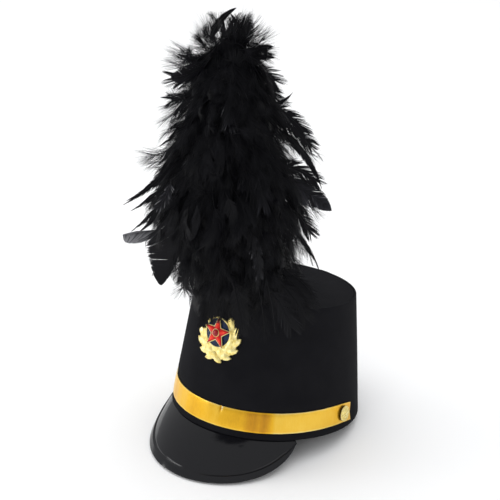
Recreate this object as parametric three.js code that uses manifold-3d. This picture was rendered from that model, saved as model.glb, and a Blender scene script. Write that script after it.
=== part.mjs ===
// A marching band hat: a stiff felt shako with a glossy moulded peak, a gold strap held by two
// buttons, a gold and enamel front badge, and a tall feather plume in a socket behind the badge.
//
// Millimetres, +Z up. Every piece is modelled upright in the crown's own frame: the rim's plane is
// z = 0, the crown's axis is +Z, and the front of the hat looks along -Y. The finished hat then tips
// back until it rests on the front edge of its peak and on the back of its rim.

import * as THREE from 'three';
import { TessellateModifier } from 'three/addons/modifiers/TessellateModifier.js';
import { mergeVertices } from 'three/addons/utils/BufferGeometryUtils.js';
import Module from 'manifold-3d';

// Fits between pieces
const SEAT_GAP = 0.3; // between two pieces that touch
const ENAMEL_GAP = 0.12; // round the enamels in the badge, which are cemented in
const FEATHER_GAP = 0.8; // between the feathers and what they hang over

// Crown
const RIM_HALF_WIDTH = 89.4; // outside of the rim, across the head
const RIM_HALF_DEPTH = 98.3; // outside of the rim, front to back
const TOP_RADIUS = 77.5;
const TOP_FORWARD = 4.8; // how far the top sits ahead of the rim's centre
const CROWN_HEIGHT = 125; // at the middle of the top
const TOP_FALL = 3.4; // how much lower the top is at the back than at the front
const WALL = 2; // felt over a stiff backing
const TOP_THICKNESS = 2;
const TOP_RECESS = 0.6; // the side's edge stands this far above the top

// Peak
const PEAK_REACH = 51; // rim to lip along the slope, at the front
const PEAK_HALF_SPREAD = 57.3; // degrees to each side of the front
const PEAK_SLOPE_FRONT = 49.2; // degrees below the rim's plane
const PEAK_SLOPE_SIDE = 68;
const PEAK_FULLNESS = 0.61; // below 1 keeps the lip wide before it runs in to the corners
const PEAK_CORNER = 3; // reach that is left at the two corners
const PEAK_THICKNESS = 1.6;
const PEAK_CROWNING = 0.07; // outward bulge, as a share of the reach
const PEAK_FLANGE = 9; // upright strip inside the crown
const PEAK_BORDER = 7; // width of the raised border along the lip
const PEAK_BORDER_RISE = 0.8;

// Strap
const STRAP_WIDTH = 19.6;
const STRAP_ABOVE_RIM = 5.9; // at the front
const STRAP_RISE = 3.4; // the strap climbs towards the sides
const STRAP_END_DIP = 4.8; // and dips again at its ends
const STRAP_THICKNESS = 0.8;
const STRAP_HALF_SPREAD = 102; // degrees from the front to each end
const STRAP_NOTCH = 2.4; // depth of the cut in each end

// Buttons
const BUTTON_ANGLE = 92.5; // degrees from the front
const BUTTON_RADIUS = 7.7;
const BUTTON_EDGE = 1.1;
const BUTTON_DOME = 2.6;
const RIVET_RADIUS = 1.5;
const RIVET_HEAD_RADIUS = 3;
const RIVET_HEAD_THICKNESS = 0.8;

// Badge
const BADGE_BELOW_TOP = 37; // its centre below the middle of the top
const BADGE_ANGLE = -1.5; // degrees from the front
const WREATH_RADIUS = 21.8; // outer edge of its backing, inside the tips of the leaves
const WREATH_GAP = 48; // degrees left open at the top
const LEAVES_PER_SIDE = 6; // in each of the two rows of a branch
const LEAF_LENGTH = 10.3;
const LEAF_WIDTH = 5.8;
const LEAF_RELIEF = 1;
const LEAF_SPLAY = 23; // degrees that the leaves turn away from the branch
const TIE_RADIUS = 3;
const TIE_RELIEF = 1.5;
const PLATE_THICKNESS = 1.8;
const BACKING_THICKNESS = 0.8; // what is left of the plate under the enamel
const FIELD_RADIUS = 13.4; // blue enamel
const FIELD_RISE = 3.8; // its centre above the wreath's
const FIELD_THICKNESS = 0.9;
const BEZEL_WIDTH = 1.1; // gold ring round the enamel
const BEZEL_RELIEF = 0.5;
const STAR_RADIUS = 16.2;
const STAR_INNER_SHARE = 0.42;
const STAR_ROLL = 0; // degrees, anticlockwise seen from the front
const STAR_EDGE = 0.6;
const STAR_RIDGE = 2;
const BOSS_RADIUS = 3.9;
const BOSS_DOME = 1.5;
const POST_RADIUS = 1.2;
const CLUTCH_RADIUS = 4;
const CLUTCH_THICKNESS = 1.2;

// Plume and what carries it
const STEM_RADIUS = 2;
const STEM_IN_SOCKET = 26;
const STEM_IN_PLUME = 92;
const SOCKET_WALL = 1.7;
const SOCKET_FLOOR = 1.5;
const SOCKET_FLANGE_RADIUS = 6;
const SOCKET_FLANGE_THICKNESS = 1.2;
const PLUME_LEAN = 9.5; // degrees forward of the crown's axis
const PLUME_HEIGHT = 262; // socket to tip
const PLUME_RADIUS = 84; // at its widest
const PLUME_SWAY = 5; // how far its middle drifts to the wearer's right on the way up
const LOCK_WIDTH = 34; // of a lock that reaches to the plume's radius
const LOCK_THICKNESS = 8;

// The tuft's core, as shares of the plume's height and radius.
const PLUME_CORE = [
  { height: 0.015, radius: 0.22 },
  { height: 0.04, radius: 0.5 },
  { height: 0.12, radius: 0.66 },
  { height: 0.25, radius: 0.74 },
  { height: 0.38, radius: 0.73 },
  { height: 0.5, radius: 0.62 },
  { height: 0.62, radius: 0.53 },
  { height: 0.76, radius: 0.43 },
  { height: 0.86, radius: 0.32 },
  { height: 0.94, radius: 0.16 },
];

// Tiers of locks from the top down. Root and tip heights are shares of the plume's height, and the
// tip's distance from the axis is a share of its radius. Turn is where the first lock points, as a
// share of the step between two locks.
const PLUME_TIERS = [
  { root: 0.9, tip: 1.0, reach: 0.1, locks: 3, turn: 0.2 },
  { root: 0.87, tip: 0.955, reach: 0.28, locks: 4, turn: 0.6 },
  { root: 0.88, tip: 0.82, reach: 0.52, locks: 6, turn: 0.1 },
  { root: 0.82, tip: 0.7, reach: 0.62, locks: 6, turn: 0.5 },
  { root: 0.74, tip: 0.57, reach: 0.76, locks: 7, turn: 0.0 },
  { root: 0.64, tip: 0.42, reach: 0.92, locks: 7, turn: 0.5 },
  { root: 0.52, tip: 0.29, reach: 1.03, locks: 8, turn: 0.2 },
  { root: 0.4, tip: 0.17, reach: 1.0, locks: 8, turn: 0.7 },
  { root: 0.28, tip: 0.06, reach: 0.88, locks: 8, turn: 0.3 },
];

// Locks that fall in front of the crown. Side is their direction from the front, in degrees.
const FRONT_LOCKS = [
  { side: -74, root: 0.14, tip: -0.03, reach: 0.74 },
  { side: -46, root: 0.13, tip: -0.09, reach: 0.56 },
  { side: -22, root: 0.14, tip: -0.08, reach: 0.45 },
  { side: 0, root: 0.12, tip: -0.06, reach: 0.42 },
  { side: 22, root: 0.14, tip: -0.1, reach: 0.45 },
  { side: 46, root: 0.13, tip: -0.14, reach: 0.56 },
  { side: 74, root: 0.14, tip: -0.08, reach: 0.74 },
];

// Smoothness of round shapes
const CROWN_FACETS = 72;
const PEAK_STEPS = 30;
const STRAP_STEPS = 52;
const BUTTON_FACETS = 20;
const BADGE_FACETS = 36;
const BADGE_FACET = 7; // longest edge on a curved face
const BADGE_DIVISIONS = 8;
const ROD_SIDES = 8;
const STEM_STEPS = 16;
const CORE_FACETS = 14;

const LEATHER_BLACK = '#17181b';
const materials = {
  felt: new THREE.MeshStandardMaterial({ color: '#1b1b1e', roughness: 0.95 }),
  peak: new THREE.MeshStandardMaterial({ color: LEATHER_BLACK, roughness: 0.18 }),
  strap: new THREE.MeshStandardMaterial({ color: '#e2ae38', roughness: 0.32, metalness: 0.85 }),
  gilt: new THREE.MeshStandardMaterial({ color: '#ead88a', roughness: 0.3, metalness: 0.9 }),
  blueEnamel: new THREE.MeshStandardMaterial({ color: '#123a73', roughness: 0.15 }),
  redEnamel: new THREE.MeshStandardMaterial({ color: '#c5212c', roughness: 0.15 }),
  feather: new THREE.MeshStandardMaterial({ color: '#111115', roughness: 0.7 }),
  socket: new THREE.MeshStandardMaterial({ color: '#222226', roughness: 0.5 }),
  steel: new THREE.MeshStandardMaterial({ color: '#5c5f63', roughness: 0.4, metalness: 0.9 }),
};

const { degToRad, lerp } = THREE.MathUtils;
const wasm = await Module();
wasm.setup();

// Solids

function solidOf(geometry) {
  const plain = geometry.clone();
  plain.deleteAttribute('normal');
  plain.deleteAttribute('uv');
  const merged = mergeVertices(plain, 1e-4);
  return new wasm.Manifold(new wasm.Mesh({
    numProp: 3,
    vertProperties: new Float32Array(merged.attributes.position.array),
    triVerts: new Uint32Array(merged.index.array),
  }));
}

function geometryOf(solid) {
  const mesh = solid.getMesh();
  const geometry = new THREE.BufferGeometry();
  geometry.setAttribute('position', new THREE.BufferAttribute(mesh.vertProperties, 3));
  geometry.setIndex(new THREE.BufferAttribute(mesh.triVerts, 1));
  geometry.computeVertexNormals();
  return geometry;
}

const joined = (solids) => solids.reduce((sum, solid) => sum.add(solid));

// A closed skin through sections, each a loop of points of which the first half runs along one side
// of the wall and the second half runs back along the other. An open run of sections gets a cap at
// each end, and a ring of sections closes on itself.
function loft(sections, { ring = false } = {}) {
  const count = sections[0].length;
  const positions = sections.flat().flatMap((point) => [point.x, point.y, point.z]);
  const index = [];
  const quad = (a, b, c, d) => index.push(a, b, c, a, c, d);
  const spans = ring ? sections.length : sections.length - 1;
  for (let i = 0; i < spans; i += 1) {
    const here = i * count;
    const next = ((i + 1) % sections.length) * count;
    for (let j = 0; j < count; j += 1) {
      const k = (j + 1) % count;
      quad(here + j, next + j, next + k, here + k);
    }
  }
  if (!ring) {
    const last = (sections.length - 1) * count;
    for (let j = 0; j < count / 2 - 1; j += 1) {
      const across = count - 1 - j;
      quad(j, j + 1, across - 1, across);
      quad(last + j + 1, last + j, last + across, last + across - 1);
    }
  }
  const geometry = new THREE.BufferGeometry();
  geometry.setAttribute('position', new THREE.Float32BufferAttribute(positions, 3));
  geometry.setIndex(signedVolume(positions, index) < 0 ? reversed(index) : index);
  geometry.computeVertexNormals();
  return geometry;
}

function signedVolume(positions, index) {
  const corner = (i) => new THREE.Vector3().fromArray(positions, index[i] * 3);
  let sum = 0;
  for (let i = 0; i < index.length; i += 3) {
    sum += corner(i).dot(corner(i + 1).cross(corner(i + 2)));
  }
  return sum;
}

const reversed = (index) => index.map((_, i) => index[i - (i % 3) + 2 - (i % 3)]);

// A solid of revolution about +Z, from [radius, height] pairs that start and end on the axis.
function turned(profile, facets) {
  const points = profile.map(([radius, height]) => new THREE.Vector2(radius, height));
  return new THREE.LatheGeometry(points, facets).rotateX(Math.PI / 2);
}

// A plate of a flat shape in XY, from z = low up to z = high.
function plate(shape, low, high, facets = BADGE_FACETS) {
  const settings = { depth: high - low, bevelEnabled: false, curveSegments: facets / 2 };
  return new THREE.ExtrudeGeometry(shape, settings).translate(0, 0, low);
}

function ellipseShape(halfWidth, halfDepth) {
  const shape = new THREE.Shape();
  shape.absellipse(0, 0, halfWidth, halfDepth, 0, 2 * Math.PI);
  return shape;
}

function rod(curve, radius, steps) {
  const section = new THREE.Shape();
  section.absarc(0, 0, radius, 0, 2 * Math.PI);
  const settings = { extrudePath: curve, steps, curveSegments: ROD_SIDES / 2 };
  return new THREE.ExtrudeGeometry(section, { ...settings, bevelEnabled: false });
}

function mesh(name, geometry, material) {
  const made = new THREE.Mesh(geometry, material);
  made.name = name;
  return made;
}

// Crown

const TOP_SLOPE = TOP_FALL / (2 * TOP_RADIUS);

// Height of the crown's top plane over a point at depth y.
const topHeight = (y) => CROWN_HEIGHT - TOP_SLOPE * (y + TOP_FORWARD);

// A point on the outside of the crown, moved out by the given distance. The angle runs from the
// front (-Y) towards +X, and the height is above the rim.
function onCrown(angle, height, out = 0) {
  const full = topHeight(-TOP_FORWARD - TOP_RADIUS * Math.cos(angle));
  const share = height / full;
  const halfWidth = lerp(RIM_HALF_WIDTH, TOP_RADIUS, share) + out;
  const halfDepth = lerp(RIM_HALF_DEPTH, TOP_RADIUS, share) + out;
  const centre = -TOP_FORWARD * share;
  return new THREE.Vector3(
    halfWidth * Math.sin(angle),
    centre - halfDepth * Math.cos(angle),
    height,
  );
}

// Turns an object so that its +Z looks straight out of the crown at that place, with +X level.
function faceOut(object, angle, height, out) {
  const step = 0.01;
  const here = onCrown(angle, height, out);
  const along = onCrown(angle + step, height, out).sub(here);
  const up = onCrown(angle, height + 1, out).sub(here);
  const outward = along.clone().cross(up).normalize();
  const level = along.normalize();
  const basis = new THREE.Matrix4().makeBasis(level, outward.clone().cross(level), outward);
  object.quaternion.setFromRotationMatrix(basis);
  object.position.copy(here);
  return object;
}

const worldSolid = (object) => {
  object.updateMatrixWorld(true);
  return solidOf(object.geometry.clone().applyMatrix4(object.matrixWorld));
};

function crownWall() {
  const sections = Array.from({ length: CROWN_FACETS }, (_, i) => {
    const angle = (i / CROWN_FACETS) * 2 * Math.PI;
    const full = topHeight(-TOP_FORWARD - TOP_RADIUS * Math.cos(angle));
    return [
      onCrown(angle, 0),
      onCrown(angle, full),
      onCrown(angle, full, -WALL),
      onCrown(angle, 0, -WALL),
    ];
  });
  return solidOf(loft(sections, { ring: true }));
}

function crownTop() {
  const radius = TOP_RADIUS - WALL - SEAT_GAP;
  const shape = ellipseShape(radius, radius);
  const geometry = plate(shape, -TOP_RECESS - TOP_THICKNESS, -TOP_RECESS, CROWN_FACETS);
  const tip = new THREE.Matrix4().makeShear(0, 0, 0, -TOP_SLOPE, 0, 0);
  geometry.applyMatrix4(tip);
  return solidOf(geometry.translate(0, -TOP_FORWARD, CROWN_HEIGHT));
}

// Peak

// One section of the peak at an angle from the front. Out is the distance from the crown's outside.
function peakSection(angle) {
  const share = Math.abs(angle) / degToRad(PEAK_HALF_SPREAD);
  const taper = Math.cos((Math.PI / 2) * Math.min(share, 1));
  const reach = Math.max(PEAK_REACH * Math.max(taper, 0) ** PEAK_FULLNESS, PEAK_CORNER);
  const slope = degToRad(lerp(PEAK_SLOPE_FRONT, PEAK_SLOPE_SIDE, share ** 2));
  const flange = new THREE.Vector2(-WALL - SEAT_GAP, PEAK_FLANGE);
  const root = new THREE.Vector2(-WALL - SEAT_GAP, -SEAT_GAP);
  const lip = new THREE.Vector2(Math.cos(slope), -Math.sin(slope)).multiplyScalar(reach);
  const chord = lip.clone().sub(root);
  const normal = new THREE.Vector2(-chord.y, chord.x).normalize();
  const border = Math.min(PEAK_BORDER, reach / 3) / chord.length();
  const rise = PEAK_BORDER_RISE * Math.min(1, reach / (3 * PEAK_BORDER));
  const onPanel = (along, lift = 0) => {
    const bulge = 4 * PEAK_CROWNING * reach * along * (1 - along) + lift;
    return root.clone().addScaledVector(chord, along).addScaledVector(normal, bulge);
  };
  const inner = 1 - border;
  const panel = [0.2, 0.4, 0.6, 0.8].map((part) => onPanel(part * inner));
  const edge = [onPanel(inner), onPanel(inner + border * 0.12, rise), onPanel(1, rise)];
  const upper = [flange, root, ...panel, ...edge];
  const lower = upper.map((point, i) => {
    if (i < 2) return point.clone().add(new THREE.Vector2(-PEAK_THICKNESS, i * -PEAK_THICKNESS));
    const thickness = i >= upper.length - 2 ? PEAK_THICKNESS + rise : PEAK_THICKNESS;
    return point.clone().addScaledVector(normal, -thickness);
  });
  return [...upper, ...lower.reverse()].map(({ x: out, y: height }) => (
    onCrown(angle, Math.max(height, 0), out).setZ(height)
  ));
}

const peakSections = Array.from({ length: PEAK_STEPS + 1 }, (_, i) => (
  peakSection(degToRad(lerp(-PEAK_HALF_SPREAD, PEAK_HALF_SPREAD, i / PEAK_STEPS)))
));

// The angle at which the hat stands on the back of its rim and the lowest part of its peak.
const REST_TILT = Math.max(...peakSections.flat().map((point) => (
  Math.atan2(-point.z, RIM_HALF_DEPTH - point.y)
)));

// Strap

function strapPoint(angle, across, out) {
  const ends = Math.abs(angle) / degToRad(STRAP_HALF_SPREAD);
  const rise = STRAP_RISE * ends ** 2 - STRAP_END_DIP * ends ** 8;
  const height = STRAP_ABOVE_RIM + rise + STRAP_WIDTH * across;
  return onCrown(angle, height, out);
}

function strap() {
  const inner = SEAT_GAP;
  const outer = SEAT_GAP + STRAP_THICKNESS;
  const notch = STRAP_NOTCH / RIM_HALF_WIDTH;
  const rows = [0, 0.5, 1];
  const sections = Array.from({ length: STRAP_STEPS + 1 }, (_, i) => {
    const side = lerp(-1, 1, i / STRAP_STEPS);
    const atEnd = Math.abs(side) === 1;
    const angleAt = (across) => {
      const cut = atEnd && across === 0.5 ? notch : 0;
      return side * (degToRad(STRAP_HALF_SPREAD) - cut);
    };
    const outside = rows.map((across) => strapPoint(angleAt(across), across, outer));
    const inside = rows.map((across) => strapPoint(angleAt(across), across, inner)).reverse();
    return [...outside, ...inside];
  });
  return solidOf(loft(sections));
}

// Buttons

const STRAP_FACE = SEAT_GAP + STRAP_THICKNESS; // out from the crown

// A domed button riveted through the strap and the wall. Its own +Z looks out, from the strap's face.
function buttonGeometry() {
  const back = SEAT_GAP;
  const inside = -(STRAP_FACE + WALL + SEAT_GAP);
  const dome = [0.97, 0.85, 0.62, 0.33].map((share) => [
    BUTTON_RADIUS * share,
    back + BUTTON_EDGE + BUTTON_DOME * Math.sqrt(1 - share ** 2),
  ]);
  return turned([
    [0, inside - RIVET_HEAD_THICKNESS],
    [RIVET_HEAD_RADIUS, inside - RIVET_HEAD_THICKNESS],
    [RIVET_HEAD_RADIUS, inside],
    [RIVET_RADIUS, inside],
    [RIVET_RADIUS, back],
    [BUTTON_RADIUS, back],
    [BUTTON_RADIUS, back + BUTTON_EDGE],
    ...dome,
    [0, back + BUTTON_EDGE + BUTTON_DOME],
  ], BUTTON_FACETS);
}

function buttonPlace(object, side) {
  const angle = side * degToRad(BUTTON_ANGLE);
  return faceOut(object, angle, strapPoint(angle, 0.5, 0).z, STRAP_FACE);
}

function rivetHole(side) {
  const reach = 4 * (WALL + STRAP_FACE);
  const drill = turned([
    [0, -reach],
    [RIVET_RADIUS + SEAT_GAP, -reach],
    [RIVET_RADIUS + SEAT_GAP, reach],
    [0, reach],
  ], ROD_SIDES);
  return worldSolid(buttonPlace(new THREE.Mesh(drill), side));
}

// Badge, in its own frame: +Z looks out of the crown and +Y is up.

const BADGE_HEIGHT = CROWN_HEIGHT - BADGE_BELOW_TOP;
const BADGE_BACK = SEAT_GAP;
const PLATE_FACE = BADGE_BACK + PLATE_THICKNESS;
const FIELD_BACK = BADGE_BACK + BACKING_THICKNESS + ENAMEL_GAP;
const FIELD_FACE = FIELD_BACK + FIELD_THICKNESS;
const STAR_BACK = PLATE_FACE + LEAF_RELIEF + ENAMEL_GAP;
const BADGE_BEND_RADIUS = badgeBendRadius();

// The crown's own radius behind the badge.
function badgeBendRadius() {
  const share = BADGE_HEIGHT / CROWN_HEIGHT;
  const halfWidth = lerp(RIM_HALF_WIDTH, TOP_RADIUS, share);
  return halfWidth ** 2 / lerp(RIM_HALF_DEPTH, TOP_RADIUS, share) + BADGE_BACK;
}

// Curves a flat badge piece round the crown: its sides fall back towards the wall. Its faces are
// divided first, so that they follow the curve.
function bent(geometry) {
  const divided = new TessellateModifier(BADGE_FACET, BADGE_DIVISIONS).modify(geometry);
  const position = divided.attributes.position;
  for (let i = 0; i < position.count; i += 1) {
    const drop = position.getX(i) ** 2 / (2 * BADGE_BEND_RADIUS);
    position.setZ(i, position.getZ(i) - drop);
  }
  return solidOf(divided);
}

const circle = (shape, radius, height, from = 0, to = 2 * Math.PI) => (
  shape.absarc(0, height, radius, from, to)
);

// A leaf with a raised midrib. It points along +Y from its stalk, and is soldered into the plate.
function leafGeometry() {
  const stations = [
    { along: 0, width: 0.35, height: 0.5 },
    { along: 0.35, width: 1, height: 1 },
    { along: 0.72, width: 0.8, height: 0.9 },
    { along: 1, width: 0.1, height: 0.5 },
  ];
  return loft(stations.map(({ along, width, height }) => {
    const half = (LEAF_WIDTH * width) / 2;
    const edge = LEAF_RELIEF * 0.3;
    return [
      new THREE.Vector3(-half, LEAF_LENGTH * along, edge),
      new THREE.Vector3(0, LEAF_LENGTH * along, LEAF_RELIEF * height),
      new THREE.Vector3(half, LEAF_LENGTH * along, edge),
      new THREE.Vector3(half, LEAF_LENGTH * along, -PLATE_THICKNESS / 2),
      new THREE.Vector3(0, LEAF_LENGTH * along, -PLATE_THICKNESS / 2),
      new THREE.Vector3(-half, LEAF_LENGTH * along, -PLATE_THICKNESS / 2),
    ];
  }));
}

// Two branches from the foot of the badge up its sides, each with a row of leaves along its inner
// and its outer edge.
function wreathSolids() {
  const leaf = leafGeometry();
  const sweep = Math.PI - degToRad(WREATH_GAP) / 2 - LEAF_LENGTH / WREATH_RADIUS;
  const rows = [
    { radius: 0.71, splay: -0.55, lag: 0.5 },
    { radius: 0.86, splay: 1, lag: 0 },
  ];
  return [-1, 1].flatMap((hand) => rows.flatMap(({ radius, splay, lag }) => (
    Array.from({ length: LEAVES_PER_SIDE }, (_, i) => {
      const bearing = -Math.PI / 2 + (hand * sweep * (i + lag)) / (LEAVES_PER_SIDE - 1 + lag);
      const heading = bearing + hand * (Math.PI / 2 - splay * degToRad(LEAF_SPLAY));
      const placed = leaf.clone().rotateZ(heading - Math.PI / 2);
      const distance = radius * WREATH_RADIUS;
      placed.translate(distance * Math.cos(bearing), distance * Math.sin(bearing), PLATE_FACE);
      return bent(placed);
    })
  )));
}

// The gold part of the badge: a plate with a sunk middle, two branches of leaves, a tie at their
// foot, and a post with its clutch behind the wall.
function badgePlate() {
  const outline = new THREE.Shape();
  const open = degToRad(WREATH_GAP / 2);
  const ringRadius = FIELD_RADIUS + BEZEL_WIDTH;
  const ringOpen = Math.asin((WREATH_RADIUS * Math.sin(open)) / ringRadius);
  circle(outline, WREATH_RADIUS, 0, Math.PI / 2 + open, Math.PI / 2 - open + 2 * Math.PI);
  circle(outline, ringRadius, FIELD_RISE, Math.PI / 2 - ringOpen, Math.PI / 2 + ringOpen);
  const pocket = new THREE.Shape();
  circle(pocket, FIELD_RADIUS + ENAMEL_GAP, FIELD_RISE);
  const bezel = new THREE.Shape();
  circle(bezel, ringRadius, FIELD_RISE);
  const tie = turned([
    [0, -PLATE_THICKNESS / 2],
    [TIE_RADIUS, -PLATE_THICKNESS / 2],
    [TIE_RADIUS, TIE_RELIEF * 0.6],
    [TIE_RADIUS * 0.6, TIE_RELIEF],
    [0, TIE_RELIEF],
  ], ROD_SIDES * 2).translate(0, -WREATH_RADIUS * 0.8, PLATE_FACE);
  const gold = joined([
    bent(plate(outline, BADGE_BACK, PLATE_FACE)),
    bent(plate(bezel, PLATE_FACE - PLATE_THICKNESS / 2, PLATE_FACE + BEZEL_RELIEF)),
    bent(tie),
    ...wreathSolids(),
  ]);
  const sunk = bent(plate(pocket, BADGE_BACK + BACKING_THICKNESS, PLATE_FACE + 2 * LEAF_RELIEF));
  return geometryOf(gold.subtract(sunk).add(solidOf(badgePost())));
}

function badgePost() {
  const inside = -(WALL + SEAT_GAP);
  return turned([
    [0, inside - CLUTCH_THICKNESS],
    [CLUTCH_RADIUS, inside - CLUTCH_THICKNESS],
    [CLUTCH_RADIUS, inside],
    [POST_RADIUS, inside],
    [POST_RADIUS, BADGE_BACK + BACKING_THICKNESS / 2],
    [0, BADGE_BACK + BACKING_THICKNESS / 2],
  ], BUTTON_FACETS);
}

function badgeField() {
  const disc = new THREE.Shape();
  circle(disc, FIELD_RADIUS, FIELD_RISE);
  return geometryOf(bent(plate(disc, FIELD_BACK, FIELD_FACE)));
}

// A five-pointed star whose arms rise to a ridge, with a flat middle for the boss and a short hub
// that stands on the enamel.
function badgeStar() {
  const count = 10;
  const flat = BOSS_RADIUS / STAR_RADIUS;
  const ring = (share, z, hub) => Array.from({ length: count }, (_, i) => {
    const bearing = Math.PI / 2 + degToRad(STAR_ROLL) + (i / count) * 2 * Math.PI;
    const arm = i % 2 ? STAR_INNER_SHARE : 1;
    const radius = STAR_RADIUS * (hub ? share : share * arm);
    return new THREE.Vector3(radius * Math.cos(bearing), radius * Math.sin(bearing), z);
  });
  const hubBack = FIELD_FACE + ENAMEL_GAP;
  const rings = [
    ring(flat, hubBack, true),
    ring(flat, STAR_BACK, true),
    ring(1, STAR_BACK),
    ring(1, STAR_BACK + STAR_EDGE),
    ring(flat, STAR_BACK + STAR_RIDGE, true),
  ];
  const positions = rings.flat().flatMap((point) => point.toArray());
  positions.push(0, 0, hubBack, 0, 0, STAR_BACK + STAR_RIDGE);
  const low = rings.length * count;
  const high = low + 1;
  const index = [];
  for (let i = 0; i < count; i += 1) {
    const next = (i + 1) % count;
    index.push(low, next, i);
    for (let row = 0; row < rings.length - 1; row += 1) {
      const here = row * count;
      const above = here + count;
      index.push(here + i, here + next, above + next, here + i, above + next, above + i);
    }
    const top = (rings.length - 1) * count;
    index.push(top + i, top + next, high);
  }
  const geometry = new THREE.BufferGeometry();
  geometry.setAttribute('position', new THREE.Float32BufferAttribute(positions, 3));
  geometry.setIndex(index);
  return geometryOf(bent(geometry.translate(0, FIELD_RISE, 0)));
}

function badgeBoss() {
  const back = STAR_BACK + STAR_RIDGE + ENAMEL_GAP;
  const radius = BOSS_RADIUS - ENAMEL_GAP;
  const boss = turned([
    [0, back],
    [radius, back],
    [radius, back + BOSS_DOME * 0.35],
    [radius * 0.8, back + BOSS_DOME * 0.75],
    [radius * 0.45, back + BOSS_DOME * 0.96],
    [0, back + BOSS_DOME],
  ], ROD_SIDES * 2);
  return geometryOf(bent(boss.translate(0, FIELD_RISE, 0)));
}

const badgePlace = (object) => faceOut(object, degToRad(BADGE_ANGLE), BADGE_HEIGHT, 0);

function badgeHole() {
  const reach = 4 * WALL;
  const drill = turned([
    [0, -reach],
    [POST_RADIUS + SEAT_GAP, -reach],
    [POST_RADIUS + SEAT_GAP, reach],
    [0, reach],
  ], ROD_SIDES);
  return worldSolid(badgePlace(new THREE.Mesh(drill)));
}

// Plume socket and stem

const PLUME_ROOT_Y = -TOP_FORWARD - TOP_RADIUS + WALL + SEAT_GAP + SOCKET_FLANGE_RADIUS + 2 * SEAT_GAP;
const PLATE_UNDERSIDE = topHeight(PLUME_ROOT_Y + SOCKET_FLANGE_RADIUS) - TOP_RECESS - TOP_THICKNESS;
const SOCKET_TOP = PLATE_UNDERSIDE - SEAT_GAP;
const PLUME_ROOT = new THREE.Vector3(0, PLUME_ROOT_Y, topHeight(PLUME_ROOT_Y));

// Hollow sleeve under the top, closed at its foot, with a flange against the top's underside.
function socket() {
  const bore = STEM_RADIUS + SEAT_GAP;
  const outside = bore + SOCKET_WALL;
  const floor = SOCKET_TOP - STEM_IN_SOCKET - SEAT_GAP;
  return turned([
    [0, floor - SOCKET_FLOOR],
    [outside, floor - SOCKET_FLOOR],
    [outside, SOCKET_TOP - SOCKET_FLANGE_THICKNESS],
    [SOCKET_FLANGE_RADIUS, SOCKET_TOP - SOCKET_FLANGE_THICKNESS],
    [SOCKET_FLANGE_RADIUS, SOCKET_TOP],
    [bore, SOCKET_TOP],
    [bore, floor],
    [0, floor],
  ], BUTTON_FACETS).translate(0, PLUME_ROOT_Y, 0);
}

// A point in the plume's own upright frame, given in the crown's frame.
function fromPlume(x, y, z) {
  const point = new THREE.Vector3(x, y, z);
  return point.applyAxisAngle(new THREE.Vector3(1, 0, 0), degToRad(PLUME_LEAN)).add(PLUME_ROOT);
}

// The stem stands upright in the socket, bends forward above the top, and runs up the plume.
function stemCurve(extra) {
  const foot = SOCKET_TOP - STEM_IN_SOCKET;
  const upright = [0, 0.35, 0.7, 1].map((share) => (
    new THREE.Vector3(0, PLUME_ROOT_Y, lerp(foot, SOCKET_TOP, share))
  ));
  const inPlume = [0.12, 0.3, 0.5, 0.75, 1].map((share) => (
    fromPlume(0, 0, share * STEM_IN_PLUME + extra * share)
  ));
  return new THREE.CatmullRomCurve3([...upright, ...inPlume]);
}

const stem = () => rod(stemCurve(0), STEM_RADIUS, STEM_STEPS);
const stemBore = () => rod(stemCurve(SEAT_GAP), STEM_RADIUS + SEAT_GAP, STEM_STEPS);

// Plume

// Sideways drift of the plume's middle at a share of its height.
const swayAt = (share) => -PLUME_SWAY * THREE.MathUtils.smoothstep(share, 0.35, 0.9);

// One flat lock of feathers: it leaves the core, arches out and hangs to its tip.
function lockSolid({ bearing, root, tip, reach }) {
  const outward = new THREE.Vector3(Math.sin(bearing), -Math.cos(bearing), 0);
  const tangent = new THREE.Vector3(Math.cos(bearing), Math.sin(bearing), 0);
  const at = (distance, share) => {
    const point = outward.clone().multiplyScalar(distance * PLUME_RADIUS);
    return point.setZ(share * PLUME_HEIGHT).add(new THREE.Vector3(swayAt(share), 0, 0));
  };
  const arch = lerp(root, tip, tip > root ? 0.8 : 0.1);
  const curve = new THREE.QuadraticBezierCurve3(at(0.04, root), at(reach * 0.8, arch), at(reach, tip));
  const size = lerp(0.5, 1, Math.min(reach, 1));
  const widths = [0.55, 0.9, 1, 0.9, 0.6, 0.08];
  const sections = widths.map((width, i) => {
    const along = i / (widths.length - 1);
    const middle = curve.getPoint(along);
    const normal = tangent.clone().cross(curve.getTangent(along)).normalize();
    const half = (LOCK_WIDTH * size * width) / 2;
    const thick = (LOCK_THICKNESS * size * width) / 2;
    return [
      middle.clone().addScaledVector(tangent, half),
      middle.clone().addScaledVector(normal, thick),
      middle.clone().addScaledVector(tangent, -half),
      middle.clone().addScaledVector(normal, -thick),
    ];
  });
  return solidOf(loft(sections));
}

function plumeLocks() {
  const tiers = PLUME_TIERS.flatMap(({ root, tip, reach, locks, turn }) => (
    Array.from({ length: locks }, (_, i) => {
      const bearing = ((i + turn) / locks) * 2 * Math.PI;
      const ragged = ((i * 2) % 3) - 1; // neighbours differ in length
      return lockSolid({ bearing, root, tip: tip - 0.018 * ragged, reach: reach * (1 + 0.05 * ragged) });
    })
  ));
  const front = FRONT_LOCKS.map(({ side, ...lock }) => lockSolid({ bearing: degToRad(side), ...lock }));
  return [...tiers, ...front];
}

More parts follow.
